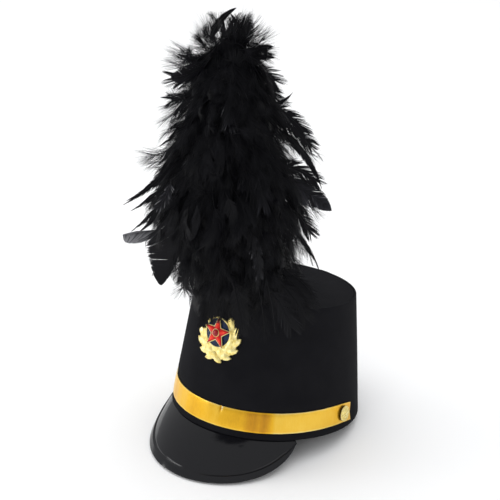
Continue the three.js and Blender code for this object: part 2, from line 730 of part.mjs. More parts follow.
function plumeCore() {
  const first = PLUME_CORE[0];
  const last = PLUME_CORE[PLUME_CORE.length - 1];
  const geometry = turned([
    [0, first.height * PLUME_HEIGHT],
    ...PLUME_CORE.map(({ height, radius }) => [radius * PLUME_RADIUS, height * PLUME_HEIGHT]),
    [0, (last.height + 0.02) * PLUME_HEIGHT],
  ], CORE_FACETS);
  const position = geometry.attributes.position;
  for (let i = 0; i < position.count; i += 1) {
    position.setX(i, position.getX(i) + swayAt(position.getZ(i) / PLUME_HEIGHT));
  }
  return solidOf(geometry);
}

// What the feathers hang over: the crown and a round of the front where the badge is.
function featherKeepOut() {
  const sections = Array.from({ length: CROWN_FACETS / 2 }, (_, i) => {
    const angle = (i / (CROWN_FACETS / 2)) * 2 * Math.PI;
    const full = topHeight(-TOP_FORWARD - TOP_RADIUS * Math.cos(angle));
    return [onCrown(angle, 0, FEATHER_GAP), onCrown(angle, full, FEATHER_GAP)];
  });
  const lift = new THREE.Vector3(0, 0, FEATHER_GAP);
  const bottom = sections.map(([low]) => low);
  const top = sections.map(([, high]) => high.add(lift));
  const crown = wasm.Manifold.hull([...bottom, ...top].map((point) => point.toArray()));
  const proud = STAR_BACK + STAR_RIDGE + BOSS_DOME + FEATHER_GAP;
  const radius = WREATH_RADIUS + LEAF_LENGTH / 3 + FEATHER_GAP;
  const round = turned([[0, -WALL], [radius, -WALL], [radius, proud], [0, proud]], BUTTON_FACETS);
  return crown.add(worldSolid(badgePlace(new THREE.Mesh(round))));
}

function plume() {
  const upright = joined([plumeCore(), ...plumeLocks()]);
  const leaning = new THREE.Matrix4().makeRotationX(degToRad(PLUME_LEAN)).setPosition(PLUME_ROOT);
  const placed = solidOf(geometryOf(upright).applyMatrix4(leaning));
  const cleared = placed.subtract(featherKeepOut()).subtract(solidOf(stemBore()));
  const bodies = cleared.decompose().sort((a, b) => b.volume() - a.volume());
  return geometryOf(bodies[0]);
}

// Assembly

function stemHole() {
  const drill = turned([
    [0, -TOP_THICKNESS * 3],
    [STEM_RADIUS + 2 * SEAT_GAP, -TOP_THICKNESS * 3],
    [STEM_RADIUS + 2 * SEAT_GAP, TOP_THICKNESS * 3],
    [0, TOP_THICKNESS * 3],
  ], BUTTON_FACETS);
  return solidOf(drill.translate(0, PLUME_ROOT_Y, PLATE_UNDERSIDE));
}

const rivetHoles = joined([rivetHole(-1), rivetHole(1)]);
const side = crownWall().subtract(rivetHoles).subtract(badgeHole());
const lid = crownTop().subtract(stemHole());
const gilt = materials.gilt;

const hat = new THREE.Group();
hat.add(
  mesh('crown_side', geometryOf(side), materials.felt),
  mesh('crown_top', geometryOf(lid), materials.felt),
  mesh('peak', loft(peakSections), materials.peak),
  mesh('strap', geometryOf(strap().subtract(rivetHoles)), materials.strap),
  buttonPlace(mesh('button_left', buttonGeometry(), gilt), 1),
  buttonPlace(mesh('button_right', buttonGeometry(), gilt), -1),
  badgePlace(mesh('badge_plate', badgePlate(), gilt)),
  badgePlace(mesh('badge_field', badgeField(), materials.blueEnamel)),
  badgePlace(mesh('badge_star', badgeStar(), materials.redEnamel)),
  badgePlace(mesh('badge_boss', badgeBoss(), materials.redEnamel)),
  mesh('plume_socket', socket(), materials.socket),
  mesh('plume_stem', stem(), materials.steel),
  mesh('plume', plume(), materials.feather),
);

// The hat at rest: tipped back onto its peak and rim, standing on z = 0, centred front to back.
hat.rotation.x = -REST_TILT;
const box = new THREE.Box3().setFromObject(hat, true);
hat.position.set(-(box.min.x + box.max.x) / 2, -(box.min.y + box.max.y) / 2, -box.min.z);

const marchingBandHat = new THREE.Group();
marchingBandHat.add(hat);

export default marchingBandHat;
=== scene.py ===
"""Looks of a marching band hat: felt crown, patent peak, gold strap, badge and feather plume.

Metres, +Z up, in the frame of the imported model. Shapes of the crown are modelled upright in the hat's
own frame, where the rim's plane is z = 0 and the front is -Y, and then tipped back with the hat.
"""

import math

import bmesh
import bpy
import numpy as np
from mathutils import Matrix, Vector


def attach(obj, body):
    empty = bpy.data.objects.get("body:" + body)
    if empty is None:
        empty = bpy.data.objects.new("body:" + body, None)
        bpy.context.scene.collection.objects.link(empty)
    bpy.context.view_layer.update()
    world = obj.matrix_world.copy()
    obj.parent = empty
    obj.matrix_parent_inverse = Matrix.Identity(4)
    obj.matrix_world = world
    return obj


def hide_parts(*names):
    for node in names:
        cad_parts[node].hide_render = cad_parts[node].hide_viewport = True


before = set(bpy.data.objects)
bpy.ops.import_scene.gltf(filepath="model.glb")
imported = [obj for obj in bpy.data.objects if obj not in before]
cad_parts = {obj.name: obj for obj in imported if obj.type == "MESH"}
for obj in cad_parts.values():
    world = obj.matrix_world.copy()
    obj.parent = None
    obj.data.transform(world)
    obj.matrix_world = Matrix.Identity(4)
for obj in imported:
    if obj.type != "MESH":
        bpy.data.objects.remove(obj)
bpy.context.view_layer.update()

MM = 0.001

# The hat's own frame, as it rests on its peak and the back of its rim
REST_TILT = math.radians(9.845)
RIM_CENTRE = Vector((0.0, 19.96, 16.81)) * MM
HAT = Matrix.Translation(RIM_CENTRE) @ Matrix.Rotation(-REST_TILT, 4, "X")

# Crown
RIM_HALF_WIDTH = 89.4 * MM
RIM_HALF_DEPTH = 98.3 * MM
TOP_RADIUS = 77.5 * MM
TOP_FORWARD = 4.8 * MM
CROWN_HEIGHT = 125 * MM
TOP_SLOPE = 3.4 / 155
WALL = 2 * MM
LAP_WIDTH = 11 * MM  # overlap of the felt at the back seam
LAP_RISE = 0.7 * MM
LAP_FADE = 8 * MM  # the overlap fades out above the rim
FELT_WAVER = 0.25 * MM
PINCH = 1.1 * MM  # the strap is drawn tight and presses the felt in
PINCH_FADE = 4 * MM

# Peak
PEAK_REACH = 51 * MM
PEAK_HALF_SPREAD = math.radians(57.3)
PEAK_SLOPE_FRONT = math.radians(49.2)
PEAK_SLOPE_SIDE = math.radians(68)
PEAK_FULLNESS = 0.61
PEAK_CORNER = 3 * MM
PEAK_THICKNESS = 1.6 * MM
PEAK_CROWNING = 0.07
PEAK_FLANGE = 9 * MM
FLANGE_SHARE = 0.18  # of the rows between lip and edge, for the flange
PEAK_BORDER = 7 * MM
PEAK_BORDER_RISE = 1.0 * MM

# Strap
STRAP_WIDTH = 19.6 * MM
STRAP_ABOVE_RIM = 5.9 * MM
STRAP_RISE = 3.4 * MM
STRAP_END_DIP = 4.8 * MM
STRAP_END_TAPER = 1.6 * MM
STRAP_THICKNESS = 0.8 * MM
STRAP_HALF_SPREAD = math.radians(102)
STRAP_NOTCH = 2.4 * MM
STRAP_CUSHION = 0.3 * MM
STRAP_GROOVE = 0.25 * MM  # inside the turned edges
STRAP_RIPPLE = 0.1 * MM
SEAT_GAP = 0.3 * MM
CRIMP_ANGLE = math.radians(9.6)
CRIMP_RISE = 0.9  # in millimetres

# How bright the film is painted, by the angle from the front in degrees: painted reflections, dark
# brown from 28 to 40.
STRAP_PAINTED_REFLECTIONS = (
    [-102, -54, -46, -38, -22, -12, 7, 12, 24, 28, 32, 34, 37, 40, 44, 59, 73, 84, 102],
    [0.5, 0.88, 0.74, 0.52, 0.62, 0.5, 0.64, 0.56, 0.52, 0.36, 0.34, 0.42, 0.28, 0.4, 0.66, 0.7, 0.66,
     0.56, 0.5])

# Buttons
BUTTON_ANGLE = math.radians(92.5)
BUTTON_RADIUS = 7.7 * MM
SIDE_SHADE_TOP = 2 * MM  # the button's metal is painted brown shade below this
PETALS = 6
BEADS = 24
PETAL_SIZE = (2.1, 1.15, 0.95)  # half sizes in millimetres, and so are the next two
BEAD_SIZE = (0.5, 0.75, 0.4)
KNOB_SIZE = (1.3, 1.3, 0.8)

# Badge
BADGE_HEIGHT = 88 * MM
BADGE_ANGLE = math.radians(-1.5)
FIELD_RISE = 3.8 * MM  # the field's middle, above the badge's own
STAR_RADIUS = 16.2 * MM
STAR_VALLEY = 0.42  # share of the radius at which two points meet
BADGE_RADIUS = 27 * MM
BADGE_PROUD = 6 * MM

# Plume: its foot is where the stem leaves the top, and it stands upright from there
FOOT = np.array(Vector((0.0, -30.7, 154.0)) * MM)
PLUME_HEIGHT = 262 * MM
SEED = 7
CORE_SHARE = 0.68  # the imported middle, as a share of the tuft's width
TIER_STEP = 9 * MM
FEATHER_SPACING = 15 * MM
FLUFF_COUNT = 620
FLUFF_WIDEST = 76 * MM
BARB_WIDTH = 0.62  # half a barb's width in a closed vane, as a share of the space for it
LOOSE_BARB = 0.12 * MM
TUFT_CHANCE = 0.16  # that a barb starts a tuft of its own
VANE_TUFT_CHANCE = 0.08
QUILL_RADII = (0.5, 0.1)  # at the root and the tip, in millimetres
OUTSIDE_SHARE = 0.45  # how much is left of what stands out of the tuft's outline
HEM_SHARE = 0.12  # how much is left of what hangs below the hem
HEM_RAGGED = 2.4 * MM
FEATHER_GAP = 0.9 * MM

# Camera and light
CAMERA_AZIMUTH = math.radians(37.51)
CAMERA_ELEVATION = math.radians(24.5)
CAMERA_DISTANCE = 1306.8 * MM
CAMERA_LENS = 99.66
AIM_RISE = 164.4 * MM
AIM_SIDE = -15.54 * MM
LAMP_AIM = Vector((0.0, 0.0, 0.2))

# To the camera's right, level towards it, up, and straight towards it
RIGHT = np.array([math.cos(CAMERA_AZIMUTH), math.sin(CAMERA_AZIMUTH), 0.0])
NEAR = np.array([math.sin(CAMERA_AZIMUTH), -math.cos(CAMERA_AZIMUTH), 0.0])
UP = np.array([0.0, 0.0, 1.0])
TO_CAMERA = NEAR * math.cos(CAMERA_ELEVATION) + UP * math.sin(CAMERA_ELEVATION)


# Small tools

def lerp(a, b, share):
    return a + (b - a) * share


def smoothstep(low, high, value):
    share = np.clip((value - low) / (high - low), 0.0, 1.0)
    return share * share * (3.0 - 2.0 * share)


def bell(value, middle, width):
    """A smooth bump that is 1 at its middle."""
    return math.exp(-((value - middle) / width) ** 2)


def linear(hex_colour):
    """A linear RGBA colour from an sRGB hex value such as "1b1b1e"."""
    channels = [int(hex_colour[i:i + 2], 16) / 255 for i in (0, 2, 4)]
    return [c / 12.92 if c <= 0.04045 else ((c + 0.055) / 1.055) ** 2.4 for c in channels] + [1.0]


def crown_top_height(y):
    return CROWN_HEIGHT - TOP_SLOPE * (y + TOP_FORWARD)


def wall_height(angle):
    return crown_top_height(-TOP_FORWARD - TOP_RADIUS * math.cos(angle))


def strap_height(angle, across):
    """How far above the rim the strap runs: it climbs towards the sides and dips at its ends."""
    ends = min(abs(angle) / STRAP_HALF_SPREAD, 1.0)
    rise = STRAP_RISE * ends ** 2 - STRAP_END_DIP * ends ** 8
    return STRAP_ABOVE_RIM + rise + (STRAP_WIDTH - STRAP_END_TAPER * ends ** 8) * across


def on_crown(angle, height, out=0.0):
    """A point outside the crown, in the hat's frame. The angle runs from the front towards +X."""
    share = max(height, 0.0) / wall_height(angle)
    off_middle = abs(height - strap_height(angle, 0.5))
    pressed = smoothstep(STRAP_WIDTH * 0.5 + PINCH_FADE, STRAP_WIDTH * 0.5, off_middle)
    out -= PINCH * pressed * smoothstep(1.08, 0.98, abs(angle) / STRAP_HALF_SPREAD)
    half_width = lerp(RIM_HALF_WIDTH, TOP_RADIUS, share) + out
    half_depth = lerp(RIM_HALF_DEPTH, TOP_RADIUS, share) + out
    centre = -TOP_FORWARD * share
    return Vector((half_width * math.sin(angle), centre - half_depth * math.cos(angle), height))


def facing_out(angle, height, out):
    """The frame of something fixed on the crown: its +Z looks out of the crown and +X is level."""
    here = on_crown(angle, height, out)
    level = (on_crown(angle + 0.01, height, out) - here).normalized()
    up = on_crown(angle, height + MM, out) - here
    outward = level.cross(up).normalized()
    basis = Matrix((level, outward.cross(level), outward)).transposed().to_4x4()
    return HAT @ Matrix.Translation(here) @ basis


def new_object(name, data):
    made = bpy.data.objects.new(name, data)
    bpy.context.scene.collection.objects.link(made)
    return made


def piece_from(bm, name, finish, smooth=True):
    mesh = bpy.data.meshes.new(name)
    bm.to_mesh(mesh)
    bm.free()
    for polygon in mesh.polygons:
        polygon.use_smooth = smooth
    mesh.materials.append(finish)
    return new_object(name, mesh)


def register(piece, node):
    """A piece rides on the hat and stands for a node, whose own part is hidden."""
    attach(piece, "root")
    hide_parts(node)


def grid(columns, rows):
    """A flat bmesh grid over 0..1 by 0..1, to be shaped by moving its points."""
    bm = bmesh.new()
    bmesh.ops.create_grid(bm, x_segments=columns, y_segments=rows, size=0.5)
    bmesh.ops.translate(bm, verts=bm.verts, vec=(0.5, 0.5, 0.0))
    return bm


def sheet(bm, name, finish, thickness, bevel, segments=2):
    """A piece from an open sheet in the hat's own frame. Its face looks outwards, its thickness goes
    inwards from there, and the edges of the cut are rounded."""
    bmesh.ops.recalc_face_normals(bm, faces=bm.faces)
    if sum(face.normal.dot(face.calc_center_median()) for face in bm.faces) < 0.0:
        bmesh.ops.reverse_faces(bm, faces=bm.faces)
    bm.transform(HAT)
    piece = piece_from(bm, name, finish)
    wall = piece.modifiers.new("Thickness", "SOLIDIFY")
    wall.thickness = thickness
    wall.offset = -1.0
    wall.use_even_offset = True
    edge = piece.modifiers.new("Rounded edge", "BEVEL")
    edge.width = bevel
    edge.segments = segments
    edge.limit_method = "ANGLE"
    edge.angle_limit = math.radians(55)
    return piece


def turned(profile, radius_unit, steps):
    """A shape turned about +Z from (radius, height) pairs, the heights in millimetres."""
    bm = bmesh.new()
    line = [bm.verts.new((radius * radius_unit, 0.0, height * MM)) for radius, height in profile]
    edges = [bm.edges.new(pair) for pair in zip(line, line[1:])]
    bmesh.ops.spin(
        bm, geom=line + edges, cent=(0, 0, 0), axis=(0, 0, 1), angle=2 * math.pi, steps=steps,
        use_merge=True)
    bmesh.ops.remove_doubles(bm, verts=bm.verts, dist=1e-6)
    return bm


# Materials

def join(tree, node, links):
    """Links sockets of a node, by name or number, to the outputs that they read."""
    for key, source in links.items():
        tree.links.new(source, node.inputs[key])


def add(tree, kind, settings=None, links=None, output=0, stops=()):
    """Adds a node and gives one of its outputs. Settings are properties or values of sockets, links
    are for join, and stops are a colour ramp's (position, hex colour) pairs."""
    node = tree.nodes.new("ShaderNode" + kind)
    for key, value in (settings or {}).items():
        if isinstance(key, str) and hasattr(node, key):
            setattr(node, key, value)
        else:
            node.inputs[key].default_value = value
    join(tree, node, links or {})
    elements = node.color_ramp.elements if stops else []
    while len(elements) < len(stops):
        elements.new(0.5)
    for element, (position, colour) in zip(elements, stops):
        element.position = position
        element.color = linear(colour)
    return node.outputs[output]


def material(name, **surface):
    """A material with a Principled surface, with its tree, its shader and the link that puts a
    texture on the object's own coordinates. A noise has features as large as 1 / its scale."""
    made = bpy.data.materials.new(name)
    made.use_nodes = True
    tree = made.node_tree
    shader = tree.nodes["Principled BSDF"]
    for key, value in surface.items():
        shader.inputs[key.replace("_", " ").title().replace("Ior", "IOR")].default_value = value
    return made, tree, shader, {"Vector": add(tree, "TexCoord", output="Object")}


def wool_felt():
    """Black pressed felt over a stiff backing: matt, cloudy, with a short nap of fine fibres."""
    made, tree, shader, at = material(
        "felt_pressed_black", roughness=0.95, sheen_weight=0.007, sheen_roughness=0.6,
        specular_ior_level=0.08)
    cloud = add(tree, "TexNoise", {"Scale": 1 / (26 * MM), "Detail": 3.0}, at)
    colour = add(tree, "ValToRGB", links={"Fac": cloud}, stops=[(0.3, "131316"), (0.72, "18181b")])
    # Nap about 0.5 mm across, drawn coarser than real felt so that it shows.
    nap = add(tree, "TexNoise", {"Scale": 1 / (0.55 * MM), "Detail": 4.0, "Roughness": 0.7}, at)
    relief = add(tree, "Bump", {"Distance": 0.12 * MM, "Strength": 0.7}, {"Height": nap})
    join(tree, shader, {"Base Color": colour, "Normal": relief})
    return made


def patent_vinyl():
    """Black patent vinyl, vacuum formed: a deep gloss with a faint waviness in its reflections."""
    made, tree, shader, at = material(
        "patent_vinyl_black", base_color=linear("121215"), ior=1.5, specular_ior_level=0.4)
    film = add(tree, "TexNoise", {"Scale": 1 / (24 * MM), "Detail": 3.0}, at)
    gloss = add(tree, "MapRange", {"To Min": 0.09, "To Max": 0.15}, {"Value": film})
    waviness = add(tree, "TexNoise", {"Scale": 1 / (14 * MM)}, at)
    relief = add(tree, "Bump", {"Distance": 0.12 * MM, "Strength": 0.6}, {"Height": waviness})
    join(tree, shader, {"Roughness": gloss, "Normal": relief})
    return made


def gold_vinyl():
    """Metallised gold vinyl: a smooth bright film with painted reflections that make it duller and
    browner in places, whose woven base shows as faint upright streaks. The strap's attribute says how
    bright it is painted: painted reflections, painted highlights and painted shade."""
    made, tree, shader, at = material("metallised_vinyl_gold", metallic=0.85)
    painted_light = add(tree, "Attribute", {"attribute_name": "painted_light"}, output="Fac")
    upright = {"Vector": add(tree, "Mapping", {"Scale": (1.0, 1.0, 0.06)}, at)}
    streaks = add(
        tree, "TexNoise", {"Scale": 1 / (1.1 * MM), "Detail": 3.0, "Roughness": 0.6}, upright)
    cloud = add(tree, "TexNoise", {"Scale": 1 / (18 * MM)}, at)
    varied = add(tree, "Math", {"operation": "MULTIPLY_ADD", 1: 0.16}, {0: streaks, 2: painted_light})
    varied = add(tree, "Math", {"operation": "MULTIPLY_ADD", 1: 0.2}, {0: cloud, 2: varied})
    varied = add(tree, "Math", {"operation": "SUBTRACT", 1: 0.18}, {0: varied})
    colour = add(tree, "ValToRGB", links={"Fac": varied}, stops=[
        (0.1, "8a5a22"), (0.35, "cf9327"), (0.55, "efb82c"), (0.75, "f6cb52"), (1.0, "ffefb4")])
    gloss = add(tree, "MapRange", {"To Min": 0.26, "To Max": 0.4}, {"Value": streaks})
    relief = add(tree, "Bump", {"Distance": 0.04 * MM, "Strength": 0.25}, {"Height": streaks})
    join(tree, shader, {"Base Color": colour, "Roughness": gloss, "Normal": relief})
    return made


def gilt_metal():
    """Stamped brass with a pale gilt wash: soft lights on the relief, uneven and a little worn."""
    made, tree, shader, at = material("brass_pale_gilt", metallic=0.75)
    wear = add(tree, "TexNoise", {"Scale": 1 / (3.5 * MM), "Detail": 4.0}, at)
    colour = add(tree, "ValToRGB", links={"Fac": wear}, stops=[
        (0.3, "ecd070"), (0.5, "fbe896"), (0.75, "fff4bc")])
    gloss = add(tree, "MapRange", {"To Min": 0.42, "To Max": 0.28}, {"Value": wear})
    grain = add(tree, "TexNoise", {"Scale": 1 / (0.7 * MM), "Detail": 3.0}, at)
    relief = add(tree, "Bump", {"Distance": 0.06 * MM, "Strength": 0.6}, {"Height": grain})
    join(tree, shader, {"Base Color": colour, "Roughness": gloss, "Normal": relief})
    return made


def painted_shade_brass():
    """Brass on the side of a button, coloured dark brown as painted shade."""
    made, tree, shader, at = material("brass_painted_shade", metallic=0.8, roughness=0.5)
    mottle = add(tree, "TexNoise", {"Scale": 1 / (1.5 * MM)}, at)
    colour = add(tree, "ValToRGB", links={"Fac": mottle}, stops=[(0.3, "3a1c0a"), (0.75, "6b3a14")])
    join(tree, shader, {"Base Color": colour})
    return made


def enamel(name, dark, light):
    """Cold enamel: coloured resin with a clear, slightly domed gloss."""
    made, tree, shader, at = material(
        name, roughness=0.2, coat_weight=0.25, coat_roughness=0.04, specular_ior_level=0.3)
    depth = add(tree, "TexNoise", {"Scale": 1 / (5 * MM)}, at)
    colour = add(tree, "ValToRGB", links={"Fac": depth}, stops=[(0.3, dark), (0.75, light)])
    join(tree, shader, {"Base Color": colour})
    return made


def toned(made, tree, shader, stops):
    """Colours a surface along its tone attribute."""
    tone = add(tree, "Attribute", {"attribute_name": "tone"}, output="Fac")
    join(tree, shader, {"Base Color": add(tree, "ValToRGB", links={"Fac": tone}, stops=stops)})
    return made


def star_enamel():
    """Translucent red enamel on a faceted star, with painted shade towards the points and edges and a
    painted highlight on the ridges.
    """
    made, tree, shader, _ = material(
        "enamel_red", roughness=0.18, coat_weight=0.2, coat_roughness=0.04, specular_ior_level=0.25)
    return toned(made, tree, shader, [(0.0, "5c0010"), (0.4, "b80812"), (0.7, "e8240f"), (1.0, "ff5a34")])


def dyed_feather():
    """Black dyed feathers: near black, with a soft grey sheen along the barbs and paler tips."""
    made, tree, shader, _ = material("feather_dyed_black", roughness=0.45, specular_ior_level=0.13)
    return toned(made, tree, shader, [(0.0, "040407"), (0.45, "0b0b0f"), (0.75, "26262b"), (1.0, "828285")])


def moulded_plastic():
    """Black moulded ABS: a fine even grain and a dull shine."""
    made, tree, shader, at = material("abs_moulded_black", base_color=linear("19191c"), roughness=0.5)
    grain = add(tree, "TexNoise", {"Scale": 1 / (0.6 * MM)}, at)
    relief = add(tree, "Bump", {"Distance": 0.04 * MM, "Strength": 0.4}, {"Height": grain})
    join(tree, shader, {"Normal": relief})
    return made


def drawn_steel():
    """Drawn steel wire: bright, with fine lines along its length."""
    made, tree, shader, at = material("steel_wire_drawn", base_color=linear("8b8e93"), metallic=1.0)
    upright = {"Vector": add(tree, "Mapping", {"Scale": (1.0, 1.0, 0.05)}, at)}
    lines = add(tree, "TexNoise", {"Scale": 1 / (0.5 * MM)}, upright)
    gloss = add(tree, "MapRange", {"To Min": 0.3, "To Max": 0.45}, {"Value": lines})
    join(tree, shader, {"Roughness": gloss})
    return made


def backdrop_paper():
    """White paper for a backdrop, matt and even."""
    made, tree, shader, at = material("paper_backdrop_white", roughness=0.9)
    shade = add(tree, "TexNoise", {"Scale": 1 / 2.0}, at)
    colour = add(tree, "ValToRGB", links={"Fac": shade}, stops=[(0.0, "fafafa"), (1.0, "fdfdfd")])
    join(tree, shader, {"Base Color": colour})
    return made


FELT = wool_felt()
PATENT = patent_vinyl()
GOLD = gold_vinyl()
GILT = gilt_metal()
SIDE_SHADE_BRASS = painted_shade_brass()
BLUE = enamel("enamel_blue", "04132e", "0b2a56")
RED = star_enamel()
DARK_RED = enamel("enamel_dark_red", "82060f", "a80e1c")
FEATHER = dyed_feather()
PLASTIC = moulded_plastic()
STEEL = drawn_steel()

NODE_FINISHES = {
    "crown_top": FELT,
    "badge_plate": GILT,
    "badge_field": BLUE,
    "badge_star": RED,
    "badge_boss": DARK_RED,
    "plume_socket": PLASTIC,
    "plume_stem": STEEL,
}
for node_name, finish in NODE_FINISHES.items():
    for material_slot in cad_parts[node_name].material_slots:
        material_slot.material = finish


# Camera, floor and light

def make_camera():
    right, back = Vector(RIGHT), Vector(TO_CAMERA)
    aim = RIM_CENTRE + Vector((0.0, 0.0, AIM_RISE)) + right * AIM_SIDE
    turn = Matrix((right, back.cross(right), back)).transposed().to_4x4()
    camera = new_object("Camera", bpy.data.cameras.new("Camera"))
    camera.data.lens = CAMERA_LENS
    camera.data.sensor_width = 36.0
    camera.matrix_world = Matrix.Translation(aim + back * CAMERA_DISTANCE) @ turn
    bpy.context.scene.camera = camera
    bpy.context.scene.view_settings.view_transform = "Standard"


def make_floor():
    bm = bmesh.new()
    bmesh.ops.create_grid(bm, x_segments=1, y_segments=1, size=14.0)
    floor = piece_from(bm, "floor", backdrop_paper(), smooth=False)


def softbox(name, place, size, power, mirrored=False):
    """A soft lamp aimed at the hat. Only a mirrored one shows in what is glossy."""
    light = bpy.data.lights.new(name, "AREA")
    light.shape = "RECTANGLE"
    light.size, light.size_y = size
    light.energy = power
    lamp = new_object(name, light)
    lamp.location = place
    lamp.visible_glossy = mirrored
    lamp.rotation_euler = (LAMP_AIM - Vector(place)).to_track_quat("-Z", "Y").to_euler()


def make_light():
    softbox("light_top", (-0.3, 0.5, 3.0), (4.8, 4.8), 78.0)
    softbox("light_left", (-2.2, -0.8, 1.2), (1.6, 1.6), 13.0)
    softbox("light_front", (0.9, -2.4, 1.4), (1.8, 1.8), 19.0)
    softbox("light_strip", (-1.5, -1.4, 0.5), (1.0, 0.3), 4.4, mirrored=True)
    world = bpy.data.worlds.new("studio")
    world.use_nodes = True
    background = world.node_tree.nodes["Background"]
    background.inputs["Color"].default_value = linear("f4f5f7")
    background.inputs["Strength"].default_value = 0.6
    bpy.context.scene.world = world


# Crown

def make_crown():
    """The felt wall: one sheet round the head, lapped and sewn at the back."""
    columns, rows = 192, 24
    bm = bmesh.new()
    bmesh.ops.create_cone(
        bm, segments=columns, radius1=1.0, radius2=1.0, depth=1.0, cap_ends=False)
    upright = [e for e in bm.edges if abs(e.verts[0].co.z - e.verts[1].co.z) > 0.5]
    bmesh.ops.subdivide_edges(bm, edges=upright, cuts=rows - 1, use_grid_fill=True)
    for vert in bm.verts:
        angle = math.atan2(vert.co.x, -vert.co.y)
        share = vert.co.z + 0.5
        height = share * wall_height(angle)
        from_seam = (math.pi - abs(angle)) * lerp(RIM_HALF_DEPTH, TOP_RADIUS, share)
        lap = LAP_RISE * smoothstep(LAP_WIDTH, LAP_WIDTH * 0.8, from_seam) if angle > 0 else 0.0
        lap *= smoothstep(0.0, LAP_FADE, height)
        waver = FELT_WAVER * math.sin(3 * angle + 1.2) * math.sin(math.pi * share)
        vert.co = on_crown(angle, height, lap + waver)
    wall = sheet(bm, "crown_felt", FELT, WALL, 0.5 * MM)
    register(wall, "crown_side")


# Peak

def peak_point(angle, along):
    """A point on the peak's face. Along runs from the flange's top (-1..0) down to the lip (1)."""
    share = abs(angle) / PEAK_HALF_SPREAD
    taper = max(math.cos(math.pi / 2 * min(share, 1.0)), 0.0)
    reach = max(PEAK_REACH * taper ** PEAK_FULLNESS, PEAK_CORNER)
    slope = lerp(PEAK_SLOPE_FRONT, PEAK_SLOPE_SIDE, share ** 2)
    root = Vector((-WALL - SEAT_GAP, -SEAT_GAP))
    lip = Vector((math.cos(slope), -math.sin(slope))) * reach
    chord = lip - root
    normal = Vector((-chord.y, chord.x)).normalized()
    if along < 0.0:
        point = root + Vector((0.0, (PEAK_FLANGE + SEAT_GAP) * -along))
    else:
        border = min(PEAK_BORDER, reach / 3) / chord.length
        rise = PEAK_BORDER_RISE * min(1.0, reach / (3 * PEAK_BORDER))
        raised = smoothstep(1.0 - border * 1.05, 1.0 - border * 0.88, along) * rise
        raised -= 0.45 * rise * bell(1.0 - along, border * 1.12, border * 0.12)
        bulge = 4 * PEAK_CROWNING * reach * along * (1.0 - along) + raised
        point = root + chord * along + normal * bulge
    place = on_crown(angle, max(point.y, 0.0), point.x)
    place.z = point.y
    return place


def make_peak():
    columns, rows = 120, 100
    bm = grid(columns, rows)
    for vert in bm.verts:
        angle = lerp(-PEAK_HALF_SPREAD, PEAK_HALF_SPREAD, vert.co.x)
        along = lerp(-FLANGE_SHARE, 1.0, 1.0 - vert.co.y)
        vert.co = peak_point(angle, along / FLANGE_SHARE if along < 0.0 else along)
    peak = sheet(bm, "peak_patent", PATENT, PEAK_THICKNESS, 0.45 * MM, 3)
    register(peak, "peak")


# Strap

def make_strap():
    """The vinyl strap: slightly cushioned between its turned edges, with a bite out of each end and
    a crimp in its upper edge left of the front."""
    columns, rows = 440, 20
    bm = grid(columns, rows)
    layer = bm.verts.layers.float.new("painted_light")
    for vert in bm.verts:
        side = lerp(-1.0, 1.0, vert.co.x)
        across = vert.co.y
        edge = abs(2.0 * across - 1.0)
        notch = STRAP_NOTCH / RIM_HALF_WIDTH * (1.0 - edge) ** 0.8
        end = smoothstep(0.93, 1.0, abs(side))
        angle = side * STRAP_HALF_SPREAD - math.copysign(notch * end, side)
        height = strap_height(side * STRAP_HALF_SPREAD, across)
        cushion = STRAP_CUSHION * (1.0 - edge ** 4) - STRAP_GROOVE * bell(edge, 0.86, 0.04)
        ripple = STRAP_RIPPLE * math.sin(41 * angle + 2.0) * math.sin(13 * angle)
        beside = (angle - CRIMP_ANGLE) * RIM_HALF_DEPTH / MM
        narrow = lerp(0.4, 1.0, smoothstep(0.68, 1.0, across))
        crimp = smoothstep(0.66, 0.85, across) * (
            CRIMP_RISE * bell(beside, 1.4, narrow) - CRIMP_RISE * bell(beside, -0.6, narrow))
        vert.co = on_crown(angle, height, SEAT_GAP + STRAP_THICKNESS + cushion + ripple + crimp * MM)
        # Painted reflections on the film, by the angle from the front.
        painted_reflection = np.interp(math.degrees(angle), *STRAP_PAINTED_REFLECTIONS)
        # A painted highlight along both edges of the strap.
        bright = 0.4 * bell(edge, 0.96, 0.05)
        # A painted highlight on the crimp's raised side and painted shade on its sunk side.
        vert[layer] = painted_reflection + bright + 0.45 * max(crimp, 0.0) - 0.35 * max(-crimp, 0.0)
    strap = sheet(bm, "strap_vinyl", GOLD, STRAP_THICKNESS, 0.2 * MM)
    register(strap, "strap")


# Buttons

def add_stud(bm, turn, out, height, size, lean=0.0, detail=3):
    """Adds an ellipsoid to a button's face, from its half sizes in millimetres."""
    at = Matrix.Rotation(turn, 4, "Z") @ Matrix.Translation((out, 0.0, height))
    shape = Matrix.Diagonal((*(half * MM for half in size), 1.0))
    matrix = at @ Matrix.Rotation(lean, 4, "Y") @ shape
    bmesh.ops.create_icosphere(bm, subdivisions=detail, radius=1.0, matrix=matrix)


